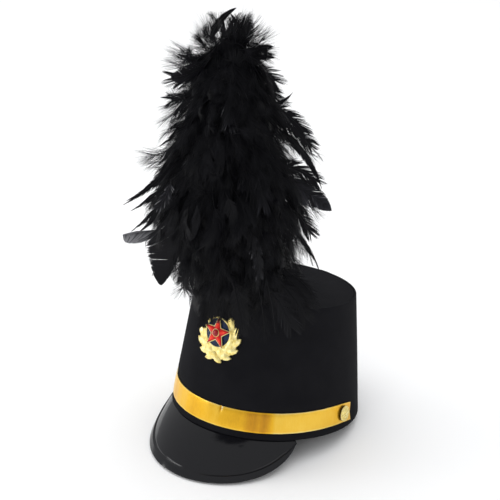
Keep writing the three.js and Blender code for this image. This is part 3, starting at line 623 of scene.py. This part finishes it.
def make_button(name, node, hand):
    """A stamped button: a domed face with a roped edge and a rosette, painted brown shade round its
    side, on its rivet. The profile's radii are shares of the button's."""
    profile = [
        (0.0, 3.3), (0.3, 3.2), (0.6, 2.7), (0.78, 2.2), (0.84, 2.0), (0.88, 2.5), (0.96, 2.5),
        (1.0, 2.1), (1.0, 1.3), (0.9, 1.0), (0.6, 0.6), (0.5, 0.3), (0.195, 0.3), (0.195, -3.4),
        (0.39, -3.4), (0.39, -4.2), (0.0, -4.2),
    ]
    bm = turned(profile, BUTTON_RADIUS, 56)
    # Faces low on the button take the painted brown shade.
    for face in bm.faces:
        face.material_index = int(face.calc_center_median().z < SIDE_SHADE_TOP)
    for petal in range(PETALS):
        turn = (petal + 0.25) / PETALS * 2 * math.pi
        add_stud(bm, turn, BUTTON_RADIUS * 0.42, 2.95 * MM, PETAL_SIZE, lean=math.radians(12))
    for bead in range(BEADS):
        turn = bead / BEADS * 2 * math.pi
        add_stud(bm, turn, BUTTON_RADIUS * 0.92, 2.5 * MM, BEAD_SIZE, detail=1)
    add_stud(bm, 0.0, 0.0, 3.3 * MM, KNOB_SIZE)
    bmesh.ops.recalc_face_normals(bm, faces=bm.faces)
    angle = hand * BUTTON_ANGLE
    bm.transform(facing_out(angle, strap_height(angle, 0.5), SEAT_GAP + STRAP_THICKNESS))
    button = piece_from(bm, name, GILT)
    button.data.materials.append(SIDE_SHADE_BRASS)
    register(button, node)


# Badge

ON_FIELD = facing_out(BADGE_ANGLE, BADGE_HEIGHT, 0.0) @ Matrix.Translation((0.0, FIELD_RISE, 0.0))


def star_solid(name, finish, radius, valley, layers):
    """A five-pointed star, closed above and below. Its layers are the share of the radius, the
    height in millimetres, and the tones on a ridge and in a valley, which give painted light and shade."""
    bm = bmesh.new()
    tone = bm.verts.layers.float.new("tone")
    rings = []
    for share, height, *tones in layers:
        corners = []
        for i in range(10):
            bearing = math.pi / 2 + i / 10 * 2 * math.pi
            reach = share * (valley if i % 2 else radius)
            corner = bm.verts.new((reach * math.cos(bearing), reach * math.sin(bearing), height * MM))
            corner[tone] = tones[i % 2] if tones else 0.0
            corners.append(corner)
        rings.append(corners)
    for low, high in zip(rings, rings[1:]):
        for i in range(10):
            bm.faces.new((low[i], low[(i + 1) % 10], high[(i + 1) % 10], high[i]))
    bm.faces.new(rings[0][::-1])
    bm.faces.new(rings[-1])
    bmesh.ops.triangulate(bm, faces=bm.faces)
    bmesh.ops.recalc_face_normals(bm, faces=bm.faces)
    bm.transform(ON_FIELD)
    return piece_from(bm, name, finish, smooth=False)


def turned_piece(name, finish, profile):
    """A shape turned about the field's axis, from (radius, height) in millimetres."""
    bm = turned(profile, MM, 40)
    bmesh.ops.recalc_face_normals(bm, faces=bm.faces)
    bm.transform(ON_FIELD)
    return piece_from(bm, name, finish)


def make_badge():
    """The star: a gilt edge all round, red enamel facets inside it, and a ringed boss."""
    valley = STAR_RADIUS * STAR_VALLEY
    edge = star_solid(
        "star_gilt_edge", GILT, STAR_RADIUS, valley,
        [(0.3, 2.3), (1.0, 3.2), (1.0, 3.75), (0.93, 3.9)])
    register(edge, "badge_star")
    # The facets' tones give a painted highlight on the ridges and painted shade at the points.
    facets = star_solid(
        "star_enamel_facets", RED, STAR_RADIUS * 0.95, valley * 0.9,
        [(1.0, 3.6, 0.0, 0.3), (1.0, 4.0, 0.0, 0.3), (0.62, 4.9, 0.95, 0.3), (0.16, 5.4, 0.6, 0.4)])
    register(facets, "badge_star")
    ring = turned_piece("boss_ring", GILT, [
        (3.4, 4.6), (3.75, 4.6), (3.9, 4.8), (3.9, 5.3), (3.75, 5.5), (3.5, 5.5), (3.4, 5.3),
        (3.4, 4.6)])
    register(ring, "badge_boss")
    dome = turned_piece("boss_dome", DARK_RED, [
        (0.0, 4.6), (3.5, 4.6), (3.45, 5.5), (2.8, 6.2), (1.5, 6.7), (0.0, 6.85)])
    register(dome, "badge_boss")


# Plume

# The tuft's outline, in millimetres: height above its foot, and how far it reaches to the left and
# to the right of someone who looks from the camera.
TUFT_OUTLINE = np.array([
    (-40, 26, 22), (-5, 34, 27), (11, 39, 46), (27, 58, 62), (44, 68, 64), (59, 75, 62), (75, 78, 64),
    (91, 78, 66), (106, 76, 60), (122, 68, 57), (137, 61, 58), (152, 58, 55), (167, 54, 50),
    (182, 50, 43), (196, 46, 35), (210, 47, 34), (218, 46, 30), (225, 42, 24), (232, 34, 20),
    (239, 25, 18), (246, 21, 14), (253, 16, 9), (262, 4, 4),
])

# The lowest feathers end on the front of the crown: across the crown, and height above the rim.
HEM = (
    [-80, -34, -22, -14, -6, 2, 8, 18, 26, 34, 42, 62, 76],
    [116, 104, 99, 99, 101, 105, 111, 111, 98, 84, 78, 76, 104])

# Which way the feathers' ends point at each height: degrees above the level.
PITCH_HEIGHTS = [-20, 30, 80, 130, 180, 215, 238, 262]
PITCHES = [-88, -78, -60, -48, -34, -12, 20, 65]

# Kinds of feather: half width in millimetres; barbs on each side; where on the quill they start; how
# loose they are at the root and at the tip; how much they cling together in tufts; the powers that
# shape the outline towards the root and the tip; and the range of their tone. A kind with an angle has
# separate barbs at that angle to the quill, at the root and at the tip, and vane says that they close.
# A kind with a sweep is a whole vane with a smooth outline: the sweep is how far its barbs lean
# towards the tip, the sides make one half narrower, and the overlap widens each barb over the next.
KINDS = {
    "blade": dict(half=8.5, barbs=60, start=0.15, angle=(56, 17), loose=(0.4, 0.06), cling=0.45,
                  outline=(0.35, 0.5), vane=True, tone=(0.05, 0.4)),
    "round": dict(half=9.5, barbs=96, start=0.1, sweep=0.42, loose=(0.12, 0.05), cling=0.3,
                  outline=(0.4, 0.5), tone=(0.3, 0.5)),
    "curl": dict(half=28, barbs=110, start=0.06, sweep=0.5, loose=(0.07, 0.04), cling=0.4,
                 outline=(0.5, 0.5), sides=(0.1, 1.0), overlap=1.5, tone=(0.3, 0.5)),
    "broad": dict(half=11, barbs=110, start=0.08, sweep=0.5, loose=(0.07, 0.05), cling=0.15,
                  outline=(0.45, 0.75), overlap=1.8, tone=(0.6, 0.7)),
    "blunt": dict(half=10, barbs=90, start=0.05, sweep=0.74, loose=(0.05, 0.03), cling=0.1,
                  outline=(0.3, 0.18), sides=(1.0, 0.12), tone=(1.05, 1.1)),
    "spike": dict(half=3.6, barbs=52, start=0.1, angle=(34, 8), loose=(0.3, 0.04), cling=0.3,
                  outline=(0.3, 0.9), vane=True, tone=(0.05, 0.35)),
    "horn": dict(half=3.2, barbs=60, start=0.02, sweep=0.3, loose=(0.06, 0.02), cling=0.0,
                 outline=(0.15, 0.7), tone=(0.1, 0.2)),
    "down": dict(half=15, barbs=42, start=0.06, angle=(70, 28), loose=(0.9, 0.5), cling=0.6,
                 outline=(0.25, 0.45), tone=(0.05, 0.35)),
    "fan": dict(half=11.5, barbs=30, start=0.35, angle=(56, 8), loose=(0.35, 0.3), cling=0.15,
                outline=(0.15, 0.22), tone=(0.05, 0.4)),
    "hackle": dict(half=5, barbs=44, start=0.1, angle=(34, 12), loose=(0.35, 0.15), cling=0.3,
                   outline=(0.2, 0.6), tone=(0.05, 0.3)),
}


def tuft_radius(height, direction):
    """How far the tuft reaches from its axis, at a height and in a level direction."""
    heights, lefts, rights = TUFT_OUTLINE.T
    left = np.interp(height / MM, heights, lefts)
    right = np.interp(height / MM, heights, rights)
    towards_right = direction @ RIGHT
    return lerp(left, right, (towards_right + 1.0) / 2.0) * MM


def unit(vectors):
    return vectors / np.maximum(np.linalg.norm(vectors, axis=-1, keepdims=True), 1e-9)


def curve(points, t):
    """Places and directions along a cubic curve through four control points."""
    a, b, c, d = (np.asarray(p, float) for p in points)
    t = np.asarray(t)[:, None]
    s = 1.0 - t
    place = s ** 3 * a + 3 * s ** 2 * t * b + 3 * s * t ** 2 * c + t ** 3 * d
    slope = 3 * s ** 2 * (b - a) + 6 * s * t * (c - b) + 3 * t ** 2 * (d - c)
    return place, unit(slope)


def quill_frame(control, t, facing):
    """Places along a quill, its direction there, the way the feather faces and the way across it."""
    place, along = curve(control, t)
    face = unit(facing - along * (along @ facing)[:, None])
    return place, along, face, np.cross(along, face)


def quill_length(control, start):
    steps = np.diff(curve(control, np.linspace(start, 1.0, 12))[0], axis=0)
    return np.linalg.norm(steps, axis=1).sum()


def both_edges(middle, side):
    return np.stack([middle - side, middle + side], axis=1)


def gathered(tips, chance, rng):
    """Where each barb's tip would be if the tuft it clings to were drawn together."""
    tuft = np.cumsum(rng.random(len(tips)) < chance)
    members = np.maximum(np.bincount(tuft), 1)
    return np.stack([np.bincount(tuft, tips[:, k]) / members for k in range(3)]).T[tuft]


def vane_width(form, t):
    """The outline of a kind of feather: 1 where it is widest."""
    rise, fall = form["outline"]
    peak = rise / (rise + fall)
    return (t ** rise * (1.0 - t) ** fall) / (peak ** rise * (1.0 - peak) ** fall)


class Feathers:
    """Gathers feathers as arrays of points and triangles, and makes them one mesh."""

    def __init__(self):
        self.points, self.triangles, self.tones = [], [], []
        self.count = 0

    def ribbons(self, rows, tones):
        """Ribbons that taper to a point: rows is (stations, ribbons, 2 edges, 3)."""
        stations, ribbons = rows.shape[:2]
        body = rows[:-1].transpose(1, 0, 2, 3).reshape(ribbons, -1, 3)
        tip = rows[-1].mean(axis=1)[:, None, :]
        points = np.concatenate([body, tip], axis=1)
        per = points.shape[1]
        shape = []
        for k in range(stations - 2):
            a, b, c, d = 2 * k, 2 * k + 1, 2 * k + 2, 2 * k + 3
            shape += [(a, b, d), (a, d, c)]
        shape.append((per - 3, per - 2, per - 1))
        offsets = self.count + per * np.arange(ribbons)
        self.triangles.append((np.array(shape)[None] + offsets[:, None, None]).reshape(-1, 3))
        self.points.append(points.reshape(-1, 3))
        body_tones = np.repeat(tones[:-1].T, 2, axis=1)
        self.tones.append(np.concatenate([body_tones, tones[-1][:, None]], axis=1).reshape(-1))
        self.count += per * ribbons

    def feather(self, control, facing, kind, rng, size=1.0, tone=0.0):
        """One feather along a curve. Facing is the way its face looks."""
        form = KINDS[kind]
        if "sweep" in form:
            self.whole_vane(control, facing, form, rng, size, tone)
            return
        barbs = form["barbs"]
        t = np.linspace(form["start"], 1.0, barbs)
        place, along, face, across = quill_frame(control, t, facing)
        spacing = quill_length(control, form["start"]) / barbs
        half = form["half"] * MM * size * (vane_width(form, t) + 0.05)
        loose = lerp(*form["loose"], t)
        angle = np.radians(lerp(*form["angle"], t))
        vane = form.get("vane", False)
        stations = np.array([0.0, 0.4, 0.8, 1.0]) if vane else np.array([0.0, 0.35, 0.7, 1.0])
        widths = np.array([1.0, 1.0, 0.7, 0.0]) if vane else np.array([1.0, 0.8, 0.5, 0.0])
        closed = BARB_WIDTH * spacing * np.sin(angle) + 0.1 * MM
        ribbon = closed if vane else np.full(barbs, LOOSE_BARB)
        shade = lerp(*form["tone"], rng.random()) + tone
        for hand in (-1.0, 1.0):
            turn = angle + rng.normal(0.0, 0.3, barbs) * loose
            outward = along * np.cos(turn)[:, None] + hand * across * np.sin(turn)[:, None]
            slant = np.minimum(1.0 / np.maximum(np.sin(angle), 0.3), 2.6 if vane else 1.6)
            reach = half * slant * (1.0 + rng.normal(0.0, 0.3, barbs) * loose)
            reach = np.maximum(reach, 0.2 * half)[:, None]
            stray = rng.normal(0.0, 0.35, (barbs, 3)) * loose[:, None]
            bend = (stray + along * 0.25 - face * 0.22 - UP * 0.3 * loose[:, None]) * reach
            tip = place + outward * reach + bend
            pull = (gathered(tip, TUFT_CHANCE, rng) + along * spacing - tip) * form["cling"]
            side = unit(np.cross(outward, face)) * ribbon[:, None]
            rows = []
            for station, width in zip(stations, widths):
                middle = place + outward * reach * station + (bend + pull) * station ** 2
                rows.append(both_edges(middle, side * width))
            tones = np.array([shade * lerp(0.6, 1.25, s) for s in stations])[:, None]
            self.ribbons(np.stack(rows), np.clip(tones * (0.75 + rng.random(barbs) ** 3), 0.0, 1.0))
        self.quill(control, face[0], size, shade)

    def whole_vane(self, control, facing, form, rng, size, tone):
        """A feather whose barbs lie close and end on a smooth outline."""
        barbs = form["barbs"]
        t = np.linspace(form["start"], 1.0, barbs)
        place, along, face, _ = quill_frame(control, t, facing)
        end_t = t + (1.0 - t) * form["sweep"]
        end, _, _, end_across = quill_frame(control, end_t, facing)
        width = form["half"] * MM * size * vane_width(form, end_t)[:, None]
        width = width * (1.0 + rng.normal(0.0, 1.0, (barbs, 1)) * lerp(*form["loose"], t)[:, None])
        spacing = quill_length(control, form["start"]) / barbs
        shade = lerp(*form["tone"], rng.random()) + tone
        streaks = 1.0 + (rng.random(barbs) - 0.6) * 0.9 * (rng.random(barbs) < 0.45)
        for hand, breadth in zip((-1.0, 1.0), form.get("sides", (1.0, 1.0))):
            edge = end + hand * end_across * width * breadth
            cling = form["cling"] * (1.0 - end_t[:, None]) ** 0.5
            edge = lerp(edge, gathered(edge, VANE_TUFT_CHANCE, rng), cling)
            reach = edge - place
            length = np.maximum(np.linalg.norm(reach, axis=1, keepdims=True), 1e-6)
            slope = np.linalg.norm(np.cross(reach, along), axis=1, keepdims=True) / length
            slope = np.clip(slope, 0.12, 1.0)
            ribbon = BARB_WIDTH * spacing * slope * form.get("overlap", 1.0) + 0.08 * MM
            side = unit(np.cross(reach, face)) * ribbon
            rows = []
            for station, share in ((0.0, 1.0), (0.35, 1.0), (0.7, 0.9), (0.9, 0.7), (1.0, 0.0)):
                arch = face * length * (0.2 * station * (1.0 - station) - 0.12 * station ** 2)
                rows.append(both_edges(place + reach * station + arch, side * share))
            tones = shade * np.linspace(0.75, 1.15, 5)[:, None] * streaks
            self.ribbons(np.stack(rows), np.clip(tones, 0.0, 1.0))
        self.quill(control, face[0], size, shade * 0.6)

    def quill(self, control, face, size, tone):
        stations = 8
        place, along = curve(control, np.linspace(0.0, 1.0, stations))
        side = unit(np.cross(along, face))
        rise = np.cross(side, along)
        radius = np.linspace(*QUILL_RADII, stations)[:, None] * MM * size
        corners = [side * radius, -side * radius, rise * radius * 1.2]
        points = np.stack([place + corner for corner in corners], axis=1).reshape(-1, 3)
        triangles = []
        for k in range(stations - 1):
            for j in range(3):
                a, b = 3 * k + j, 3 * k + (j + 1) % 3
                triangles += [(a, b, b + 3), (a, b + 3, a + 3)]
        last = 3 * (stations - 1)
        triangles += [(0, 2, 1), (last, last + 1, last + 2)]
        self.triangles.append(np.array(triangles) + self.count)
        self.points.append(points)
        self.tones.append(np.full(len(points), min(0.12 + tone, 1.0)))
        self.count += len(points)

    def piece(self, name, share=OUTSIDE_SHARE):
        points = clear_of_hat(trimmed(np.concatenate(self.points), share))
        triangles = np.concatenate(self.triangles)
        mesh = bpy.data.meshes.new(name)
        mesh.vertices.add(len(points))
        mesh.vertices.foreach_set("co", points.reshape(-1))
        mesh.loops.add(triangles.size)
        mesh.loops.foreach_set("vertex_index", triangles.reshape(-1).astype(np.int32))
        mesh.polygons.add(len(triangles))
        mesh.polygons.foreach_set("loop_start", np.arange(0, triangles.size, 3, dtype=np.int32))
        mesh.polygons.foreach_set("use_smooth", np.ones(len(triangles), bool))
        tone = mesh.attributes.new("tone", "FLOAT", "POINT")
        tone.data.foreach_set("value", np.concatenate(self.tones).astype(np.float32))
        mesh.update()
        mesh.validate()
        mesh.materials.append(FEATHER)
        register(new_object(name, mesh), "plume")


def trimmed(points, share):
    """Draws in what stands out of the tuft's outline, so that only a share of it is left."""
    x, y, z = (points - FOOT).T
    out = np.hypot(x, y)
    direction = np.stack([x, y, np.zeros(len(x))], axis=1) / np.maximum(out, 1e-6)[:, None]
    limit = tuft_radius(np.minimum(z, PLUME_HEIGHT - 6 * MM), direction) + 2 * MM
    shrink = np.where(out > limit, (limit + (out - limit) * share) / np.maximum(out, 1e-6), 1.0)
    z = np.where(z > PLUME_HEIGHT, PLUME_HEIGHT + (z - PLUME_HEIGHT) * share, z)
    return FOOT + np.stack([x * shrink, y * shrink, z], axis=1)


def clear_of_hat(points):
    """Moves points that lie in the crown, or close in front of the badge, out to just above it."""
    to_hat = np.array(HAT.inverted())
    from_hat = np.array(HAT)
    local = points @ to_hat[:3, :3].T + to_hat[:3, 3]
    x, y, z = local.T
    off_badge = np.hypot(x, z - BADGE_HEIGHT)
    margin = FEATHER_GAP + BADGE_PROUD * smoothstep(BADGE_RADIUS + 5 * MM, BADGE_RADIUS - 2 * MM, off_badge)
    top = crown_top_height(y) + 0.8 * MM
    share = np.clip(z / CROWN_HEIGHT, 0.0, 1.0)
    width = lerp(RIM_HALF_WIDTH, TOP_RADIUS, share) + margin
    depth = lerp(RIM_HALF_DEPTH, TOP_RADIUS, share) + margin
    centre = -TOP_FORWARD * share
    out = np.hypot(x / width, (y - centre) / depth)
    ragged = HEM_RAGGED * np.sin(x / MM * 1.7) * np.sin(x / MM * 0.6 + 1.0)
    hem = np.interp(x / MM, *HEM) * MM + ragged
    z = np.where((y < 0.0) & (z < hem), hem - (hem - z) * HEM_SHARE, z)
    below = top - z
    inside = (out < 1.0) & (below > 0.0)
    lifted = inside & (below < (1.0 - out) * TOP_RADIUS)
    pushed = inside & ~lifted
    z[lifted] = top[lifted]
    grow = 1.0 / np.maximum(out[pushed], 0.05)
    x[pushed] *= grow
    y[pushed] = centre[pushed] + (y[pushed] - centre[pushed]) * grow
    return np.stack([x, y, z], axis=1) @ from_hat[:3, :3].T + from_hat[:3, 3]


def around(bearing):
    """The level direction at a bearing from the front towards +X."""
    return np.array([math.sin(bearing), -math.cos(bearing), 0.0])


def arching(bearing, tip_height, reach, length, rng):
    """Control points of a feather that leaves the stem, arches outwards and ends at its tip."""
    outward = around(bearing)
    pitch = math.radians(np.interp(tip_height / MM, PITCH_HEIGHTS, PITCHES) + rng.normal(0.0, 13.0))
    heading = outward * math.cos(pitch) + UP * math.sin(pitch)
    tip = FOOT + outward * tuft_radius(tip_height, outward) * reach + UP * tip_height
    root_height = np.clip(tip_height - math.sin(pitch) * length * 0.75, 4 * MM, PLUME_HEIGHT * 0.92)
    root = FOOT + outward * tuft_radius(root_height, outward) * 0.25 + UP * root_height
    sweep = np.cross(UP, outward) * rng.normal(0.0, 9 * MM)
    shoulder = root + (outward * 0.8 + UP * 0.3) * length * 0.3
    fall = tip - heading * length * 0.35 + sweep
    return [root, shoulder, fall, tip + sweep * 0.3]


def in_view(side, height, depth):
    """A point of the tuft from millimetres to the right, above the foot and towards the camera."""
    return FOOT + (RIGHT * side + UP * height + TO_CAMERA * depth) * MM


def make_core():
    """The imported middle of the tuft, dark between the feathers."""
    bm = bmesh.new()
    bmesh.ops.create_uvsphere(bm, u_segments=44, v_segments=40, radius=1.0)
    low, high = -2 * MM, PLUME_HEIGHT * 0.95
    for vert in bm.verts:
        height = lerp(low, high, (vert.co.z + 1.0) / 2.0)
        bearing = math.atan2(vert.co.x, -vert.co.y)
        share = min(math.hypot(vert.co.x, vert.co.y) * 1.6, 1.0)
        wave = 1.0 + 0.09 * math.sin(7 * bearing + height * 130)
        wave += 0.05 * math.sin(13 * bearing - height * 90)
        outward = around(bearing)
        out = outward * tuft_radius(height, outward) * CORE_SHARE * share * wave
        vert.co = Vector(FOOT + out + UP * height)
    placed = clear_of_hat(np.array([vert.co[:] for vert in bm.verts]))
    for vert, place in zip(bm.verts, placed):
        vert.co = Vector(place)
    bmesh.ops.recalc_face_normals(bm, faces=bm.faces)
    register(piece_from(bm, "plume_core", FEATHER), "plume")


def make_tiers(name, high, low, rng):
    """Rings of feathers whose tips lie from one height down to another."""
    made = Feathers()
    kinds, shares = ["blade", "spike", "down", "fan", "hackle"], [0.2, 0.13, 0.33, 0.24, 0.1]
    height = high
    while height > low:
        radius = float(tuft_radius(height, NEAR))
        ring = max(6, round(2 * math.pi * radius / FEATHER_SPACING))
        turn = rng.random()
        for i in range(ring):
            bearing = (i + turn + rng.normal(0.0, 0.25)) / ring * 2 * math.pi
            kind = rng.choice(kinds, p=shares)
            control = arching(
                bearing, height + rng.normal(0.0, 6 * MM), rng.uniform(0.82, 1.04),
                rng.uniform(45, 75) * MM, rng)
            facing = unit(around(bearing + rng.normal(0.0, 0.5)) + UP * rng.uniform(0.0, 0.7))
            made.feather(control, facing, kind, rng, rng.uniform(0.8, 1.15), rng.choice([0.0, 0.0, 0.1]))
        height -= TIER_STEP
    made.piece(name)


def make_fluff(rng):
    """Small loose tufts all over, which soften the outline."""
    made = Feathers()
    for _ in range(FLUFF_COUNT):
        height = rng.uniform(0.0, 0.97) * PLUME_HEIGHT
        bearing = rng.uniform(0.0, 2 * math.pi)
        outward = around(bearing)
        if rng.random() > tuft_radius(height, outward) / FLUFF_WIDEST + 0.25:
            continue
        pitch = math.radians(np.interp(height / MM, PITCH_HEIGHTS, PITCHES) + rng.normal(12.0, 26.0))
        heading = outward * math.cos(pitch) + UP * math.sin(pitch)
        heading = unit(heading + np.cross(UP, outward) * rng.normal(0.0, 0.4))
        root = FOOT + outward * tuft_radius(height, outward) * rng.uniform(0.62, 0.9) + UP * height
        length = rng.uniform(12, 26) * MM
        control = [root, root + heading * length * 0.35, root + heading * length * 0.7 - UP * length * 0.05,
                   root + heading * length - UP * length * 0.15]
        made.feather(control, unit(NEAR * 0.3 + UP * 0.4 + outward), "fan", rng, rng.uniform(0.45, 0.8))
    made.piece("plume_fluff")


# Single feathers that stand out: kind; root and tip in millimetres to the right of the foot and above
# it; how far the quill bows to its left; size; how much paler it is; and how near the camera.
STANDING_OUT = [
    # the top, from the left
    ("horn", (-19, 240), (4, 269), 6, 1.25, 0.0, 8),
    ("fan", (-10, 230), (-20, 252), 2, 0.95, 0.1, 6), ("fan", (-8, 226), (-24, 246), 3, 0.9, 0.1, 2),
    ("fan", (-12, 228), (-27, 240), 3, 0.85, 0.1, 8), ("down", (-8, 220), (-18, 246), 0, 0.7, 0.0, 0),
    ("blade", (-8, 220), (-5, 250), 0, 0.8, 0.0, 2), ("blade", (0, 222), (6, 254), 1, 0.85, 0.0, 4),
    ("blade", (-2, 225), (14, 248), 1, 0.9, 0.0, 6), ("down", (2, 218), (10, 250), 0, 0.8, 0.0, 0),
    ("fan", (-2, 232), (8, 256), 0, 0.95, 0.1, 4), ("fan", (2, 230), (17, 253), -2, 1.0, 0.2, 8),
    ("fan", (0, 228), (22, 247), -2, 0.9, 0.1, 0), ("fan", (4, 226), (27, 243), -2, 0.9, 0.1, 4),
    ("spike", (-4, 232), (1, 260), 1, 0.7, 0.0, 8), ("spike", (0, 230), (9, 258), 1, 0.7, 0.0, 4),
    ("spike", (8, 226), (34, 236), 3, 0.9, 0.0, 6), ("spike", (10, 222), (36, 226), 4, 0.8, 0.0, 4),
    ("blade", (8, 224), (28, 232), 3, 0.7, 0.0, 2), ("fan", (8, 232), (30, 232), 2, 0.8, 0.1, 0),
    # the left shoulder
    ("fan", (-16, 224), (-42, 232), 3, 1.0, 0.2, 6), ("fan", (-16, 220), (-46, 227), 2, 1.0, 0.1, 0),
    ("down", (-14, 216), (-42, 228), 3, 0.8, 0.0, 2), ("spike", (-14, 222), (-46, 229), 2, 0.8, 0.0, 8),
    ("fan", (-18, 218), (-50, 222), 2, 0.9, 0.2, -4), ("round", (-16, 226), (-52, 207), 6, 0.85, 0.1, 16),
    ("blade", (-20, 214), (-50, 208), 4, 0.9, 0.0, 10), ("blade", (-20, 204), (-51, 188), 4, 0.9, 0.0, 10),
    ("fan", (-26, 204), (-56, 182), 4, 0.8, 0.2, 6), ("fan", (-34, 196), (-60, 170), 4, 0.8, 0.2, 2),
    ("fan", (-34, 188), (-58, 158), 4, 0.7, 0.25, 8), ("spike", (-34, 180), (-64, 146), 4, 0.8, 0.1, 4),
    ("fan", (-36, 164), (-74, 134), 4, 0.9, 0.2, 0), ("spike", (-40, 166), (-66, 128), 3, 0.9, 0.0, 6),
    ("spike", (-42, 160), (-62, 126), 3, 0.9, 0.0, 10),
    # the right shoulder
    ("blade", (10, 218), (36, 206), 4, 0.9, 0.0, 4), ("blade", (14, 208), (37, 190), 4, 0.9, 0.0, 2),
    ("fan", (12, 212), (34, 202), 2, 0.7, 0.0, 2), ("blade", (12, 192), (42, 172), 5, 0.9, 0.0, 4),
    ("fan", (16, 186), (47, 186), 3, 0.5, 0.1, 6), ("spike", (30, 184), (52, 195), -4, 0.45, 0.0, 4),
    ("blade", (22, 186), (62, 160), 6, 0.95, 0.0, 4), ("blade", (26, 176), (68, 146), 6, 0.9, 0.0, 4),
    ("spike", (36, 166), (79, 106), 7, 1.0, 0.0, 6), ("spike", (40, 160), (76, 116), 6, 0.8, 0.0, 10),
    ("hackle", (34, 172), (80, 132), 5, 0.8, 0.1, 2), ("fan", (34, 160), (70, 138), 3, 0.9, 0.1, 0),
    # the widest part, left
    ("fan", (-36, 142), (-74, 138), 3, 1.0, 0.3, 6), ("fan", (-36, 146), (-72, 130), 3, 0.9, 0.1, 0),
    ("down", (-40, 144), (-66, 124), 3, 0.7, 0.0, 2), ("spike", (-38, 150), (-97, 90), 7, 1.05, 0.0, 12),
    ("spike", (-40, 142), (-95, 94), 6, 1.0, 0.0, 4), ("spike", (-44, 130), (-91, 84), 5, 0.9, 0.0, 10),
    ("spike", (-46, 118), (-91, 64), 5, 1.0, 0.0, 14), ("spike", (-46, 112), (-88, 60), 4, 0.9, 0.0, 4),
    ("blunt", (-45, 68), (-99, 60), -1, 1.0, 0.0, 14),
    ("hackle", (-66, 98), (-72, 20), 8, 0.9, 0.0, 40), ("curl", (-50, 94), (-64, 11), 14, 1.0, 0.0, 46),
    ("spike", (-44, 88), (-60, 22), 10, 1.0, 0.1, 34), ("blade", (-30, 70), (-44, 16), 4, 1.0, 0.0, 30),
    ("fan", (-26, 52), (-42, 22), 3, 0.9, 0.2, 26), ("fan", (-22, 42), (-48, 6), 3, 1.0, 0.3, 20),
    # the widest part, right
    ("broad", (30, 122), (88, 84), 4, 1.2, 0.05, 12), ("blade", (34, 130), (74, 112), 6, 0.9, 0.0, 12),
    ("fan", (40, 116), (70, 72), 3, 1.0, 0.1, 10), ("fan", (40, 106), (74, 84), 3, 0.95, 0.0, 4),
    ("blade", (40, 96), (70, 62), 5, 0.9, 0.0, 4),
    ("hackle", (36, 92), (78, 25), 6, 0.9, 0.0, 16), ("hackle", (40, 88), (72, 30), 6, 1.0, 0.0, 20),
    ("hackle", (40, 80), (75, 33), 4, 1.0, 0.0, 24),
    ("spike", (38, 84), (79, 24), 6, 0.8, 0.0, 10), ("fan", (30, 62), (60, 30), 2, 0.9, 0.1, 18),
    # paler tips on the near side
    ("round", (-30, 92), (-35, 55), 3, 0.42, 0.2, 70), ("blade", (-52, 112), (-64, 86), 3, 0.5, 0.3, 56),
    ("blade", (-6, 100), (4, 54), 3, 0.6, 0.1, 72), ("blade", (14, 66), (24, 20), 3, 0.6, 0.15, 70),
    # over the crown
    ("blade", (0, 16), (8, -33), 2, 0.8, -0.05, 92), ("down", (3, 16), (10, -30), 2, 0.8, -0.05, 94),
    ("blade", (-20, 24), (-27, -30), 1, 0.7, -0.05, 62), ("blade", (-14, 24), (-20, -20), 1, 0.8, -0.05, 64),
    ("hackle", (-6, 20), (-11, -26), 1, 0.6, -0.05, 62), ("down", (-16, 18), (-24, -22), 1, 0.6, -0.05, 62),
    ("down", (8, 30), (14, -30), 2, 0.8, 0.0, 60), ("fan", (20, 20), (28, -34), 2, 1.1, 0.1, 60),
    ("hackle", (28, 24), (38, -36), 2, 1.2, 0.1, 58), ("down", (34, 24), (48, -28), 3, 0.8, 0.1, 54),
    ("fan", (40, 20), (60, -22), 3, 1.1, 0.0, 48), ("down", (-16, 26), (-26, -16), 2, 0.7, 0.0, 56),
    ("blade", (40, 28), (62, 6), 3, 1.0, 0.0, 40), ("blade", (44, 22), (68, -8), 3, 1.1, 0.0, 44),
    ("blade", (40, 16), (64, -20), 3, 1.1, 0.0, 50), ("down", (42, 18), (66, -14), 3, 0.8, 0.0, 46),
    ("fan", (44, 28), (70, 4), 3, 1.0, 0.0, 40), ("blade", (30, 10), (52, -30), 3, 1.1, 0.0, 56),
]


def make_standing_out(rng):
    made = Feathers()
    for kind, root, tip, bow, size, tone, depth in STANDING_OUT:
        start, end = in_view(*root, depth - 4), in_view(*tip, depth)
        left = np.cross(NEAR, unit(end - start)) * bow * MM
        control = [start, lerp(start, end, 0.33) + left, lerp(start, end, 0.7) + left * 0.9, end]
        facing = unit(NEAR + UP * 0.35 + RIGHT * rng.normal(0.0, 0.3))
        made.feather(control, facing, kind, rng, size, tone)
    made.piece("plume_standing_out", 1.0)


def make_plume():
    rng = np.random.default_rng(SEED)
    make_core()
    make_tiers("plume_top", 252 * MM, 160 * MM, rng)
    make_tiers("plume_middle", 160 * MM, 96 * MM, rng)
    make_tiers("plume_skirt", 96 * MM, 44 * MM, rng)
    make_tiers("plume_hem", 44 * MM, -4 * MM, rng)
    make_fluff(rng)
    make_standing_out(rng)


make_camera()
make_floor()
make_light()
make_crown()
make_peak()
make_strap()
make_button("button_face_left", "button_left", 1)
make_button("button_face_right", "button_right", -1)
make_badge()
make_plume()
